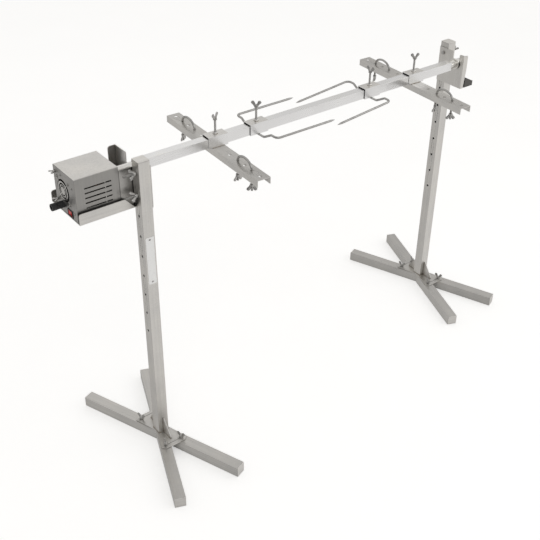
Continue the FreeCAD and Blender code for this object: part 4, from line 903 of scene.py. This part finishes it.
def gland():
    """A cable gland along Z: a hexagonal base, and a ribbed sleeve with a deep open mouth."""
    shape = Shape().join(hex_head(12.5, 5.0))
    outline = [(10.0, 4.6)]
    ribs = 5
    for rib in range(ribs):
        base = 5.6 + rib * 3.4
        wide = 12.0 - 0.15 * rib
        outline += [(wide - 1.5, base), (wide, base + 0.5),
                    (wide, base + 2.0), (wide - 1.5, base + 2.5)]
    outline += [(11.0, 23.4), (11.8, 24.2), (11.8, GLAND_LENGTH - 1.2), (10.9, GLAND_LENGTH),
                (7.2, GLAND_LENGTH), (6.4, GLAND_LENGTH - 1.0), (6.2, GLAND_LENGTH - 14.0),
                (0.4, GLAND_LENGTH - 14.2)]
    shape.join(lathe(outline, 40))
    shape.join(lathe(((9.0, -10.0), (9.0, 0.0))))
    return shape


piece("cable_entry", gland().placed(at(housing_left, gland_centre.y, gland_centre.z, TO_LEFT)),
      "stand", black, ["cable_gland"])


def rocker():
    """The rocker along Z: a curved face that stands proud on one side, with rounded ends."""
    centre = box_mm("switch_rocker")[2]
    half = 11.4
    tall = 16.0
    proud, middle, sunk = -3.0, 0.0, -1.4
    face = []
    steps = 14
    for step in range(steps + 1):
        share = step / steps * 2 - 1
        depth = middle + (sunk - proud) / 2 * share + (sunk + proud - 2 * middle) / 2 * share * share
        face.append((depth, half * share))
    outline = face + [(5.0, half * 0.86), (8.0, half * 0.7), (8.0, -half * 0.7), (5.0, -half * 0.86)]
    rings = []
    end = tall / 2
    for level, inset in ((-end, 0.5), (-end + 0.5, 0.0), (end - 0.5, 0.0), (end, 0.5)):
        share = 1 - inset / half
        rings.append([Vector((depth + inset * 0.5, side * share, level)) for depth, side in outline])
    return skin(rings).placed(at(housing_left, centre.y, centre.z))


piece("rocker_cap", rocker(), "switch_rocker", red, ["switch_rocker"])


# ---- Floor, light and camera ----
FLOOR_TONE = (0.93, 0.93, 0.925, 1.0)
FLOOR_GLOW = 0.48


def make_floor():
    """A wide pale floor; metal reflects the studio's light in its place."""
    mesh = bpy.data.meshes.new("floor")
    reach = 30.0
    mesh.from_pydata([(-reach, -reach, 0), (reach, -reach, 0), (reach, reach, 0), (-reach, reach, 0)],
                     [], [(0, 1, 2, 3)])
    floor = bpy.data.objects.new("floor", mesh)
    bpy.context.scene.collection.objects.link(floor)
    paint = Paint("pale_floor")
    tone = paint.ramp(paint.noise(paint.place, 3.0, 4.0), 0.3, 0.7, 0.985, 1.0)
    paint.raised(paint.noise(paint.place, 600.0), 0.05)
    colour = paint.dimmed(FLOOR_TONE, tone)
    mesh.materials.append(paint.finish(colour, 0.8, 0.0, Emission_Color=FLOOR_TONE,
                                       Emission_Strength=FLOOR_GLOW))
    floor.visible_glossy = False
    floor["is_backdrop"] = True


AMBIENT = 0.34
SOFT_BOXES = (
    ((0.52, 0.60, 0.60), 0.22, 4.0),
    ((-0.50, 0.65, -0.56), 0.14, 3.0),
    ((0.50, -0.65, -0.56), 0.36, 3.0),
    ((0.0, 0.0, 1.0), 0.16, 3.0),
    ((0.25, -0.80, 0.50), 0.30, 5.0),
    ((0.95, -0.10, 0.10), 0.30, 4.0),
    ((-0.60, 0.70, 0.30), 0.25, 4.0),
)
DARK_BAND_LEVEL = -0.05
DARK_BAND_WIDTH = 0.16
DARK_BAND_DEPTH = 0.4
BACKDROP = (0.96, 0.96, 0.955, 1.0)


def make_studio():
    """Soft boxes drawn in the sky, seen by reflections only; the camera sees a plain backdrop."""
    world = bpy.data.worlds.new("studio")
    bpy.context.scene.world = world
    world.use_nodes = True
    tree = world.node_tree
    tree.nodes.clear()
    link = tree.links.new

    def node(kind, **settings):
        made = tree.nodes.new(kind)
        for key, value in settings.items():
            setattr(made, key, value)
        return made

    def maths(operation, first, second):
        made = node("ShaderNodeMath", operation=operation)
        for socket, value in zip(made.inputs, (first, second)):
            if isinstance(value, bpy.types.NodeSocket):
                link(value, socket)
            else:
                socket.default_value = value
        return made.outputs[0]

    looking = node("ShaderNodeTexCoord").outputs["Generated"]
    total = AMBIENT
    for aim, strength, tightness in SOFT_BOXES:
        dot = node("ShaderNodeVectorMath", operation="DOT_PRODUCT")
        link(looking, dot.inputs[0])
        dot.inputs[1].default_value = Vector(aim).normalized()
        lit = maths("POWER", maths("MAXIMUM", dot.outputs["Value"], 0.0), tightness)
        total = maths("ADD", maths("MULTIPLY", lit, strength), total)
    height = node("ShaderNodeSeparateXYZ")
    link(looking, height.inputs[0])
    away = maths("DIVIDE", maths("SUBTRACT", height.outputs["Z"], DARK_BAND_LEVEL), DARK_BAND_WIDTH)
    band = maths("POWER", 2.718, maths("MULTIPLY", maths("MULTIPLY", away, away), -1.0))
    total = maths("MULTIPLY", total, maths("SUBTRACT", 1.0, maths("MULTIPLY", band, DARK_BAND_DEPTH)))
    reflected = node("ShaderNodeBackground")
    link(total, reflected.inputs["Strength"])
    reflected.inputs["Color"].default_value = (1.0, 0.985, 0.968, 1.0)
    seen = node("ShaderNodeBackground")
    seen.inputs["Color"].default_value = BACKDROP
    mix = node("ShaderNodeMixShader")
    link(node("ShaderNodeLightPath").outputs["Is Camera Ray"], mix.inputs[0])
    link(reflected.outputs[0], mix.inputs[1])
    link(seen.outputs[0], mix.inputs[2])
    link(mix.outputs[0], node("ShaderNodeOutputWorld").inputs[0])


def make_light(name, place, target, size, power):
    data = bpy.data.lights.new(name, "AREA")
    data.shape = "DISK"
    data.size = size
    data.energy = power
    light = bpy.data.objects.new(name, data)
    bpy.context.scene.collection.objects.link(light)
    light.location = place
    light.rotation_euler = (Vector(target) - Vector(place)).to_track_quat("-Z", "Y").to_euler()


CAMERA_PLACE = Vector((-1.1851, -2.1661, 2.4097))
CAMERA_HEADING = math.radians(37.96)
CAMERA_DIP = math.radians(34.26)
CAMERA_ROLL = math.radians(-0.814)
CAMERA_LENS = 60.49
CAMERA_SHIFT = (-0.0024, 0.0017)


def make_camera():
    """The camera at the viewing angle of the picture of the object."""
    data = bpy.data.cameras.new("camera")
    data.lens = CAMERA_LENS
    data.shift_x, data.shift_y = CAMERA_SHIFT
    data.clip_end = 100.0
    camera = bpy.data.objects.new("camera", data)
    bpy.context.scene.collection.objects.link(camera)
    turn = (Matrix.Rotation(-CAMERA_HEADING, 4, "Z") @ Matrix.Rotation(math.pi / 2 - CAMERA_DIP, 4, "X")
            @ Matrix.Rotation(-CAMERA_ROLL, 4, "Z"))
    camera.matrix_world = Matrix.Translation(CAMERA_PLACE) @ turn
    bpy.context.scene.camera = camera


make_floor()
make_studio()
make_light("key", (-1.2, -2.6, 3.4), (0.7, 0.1, 0.5), 2.6, 11.0)
make_light("fill", (3.2, -1.6, 2.4), (0.9, 0.1, 0.6), 2.2, 6.0)
make_light("back", (1.4, 3.2, 2.8), (0.7, 0.1, 0.8), 2.4, 2.5)
make_camera()
bpy.context.scene.view_settings.view_transform = "Standard"

low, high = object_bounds()
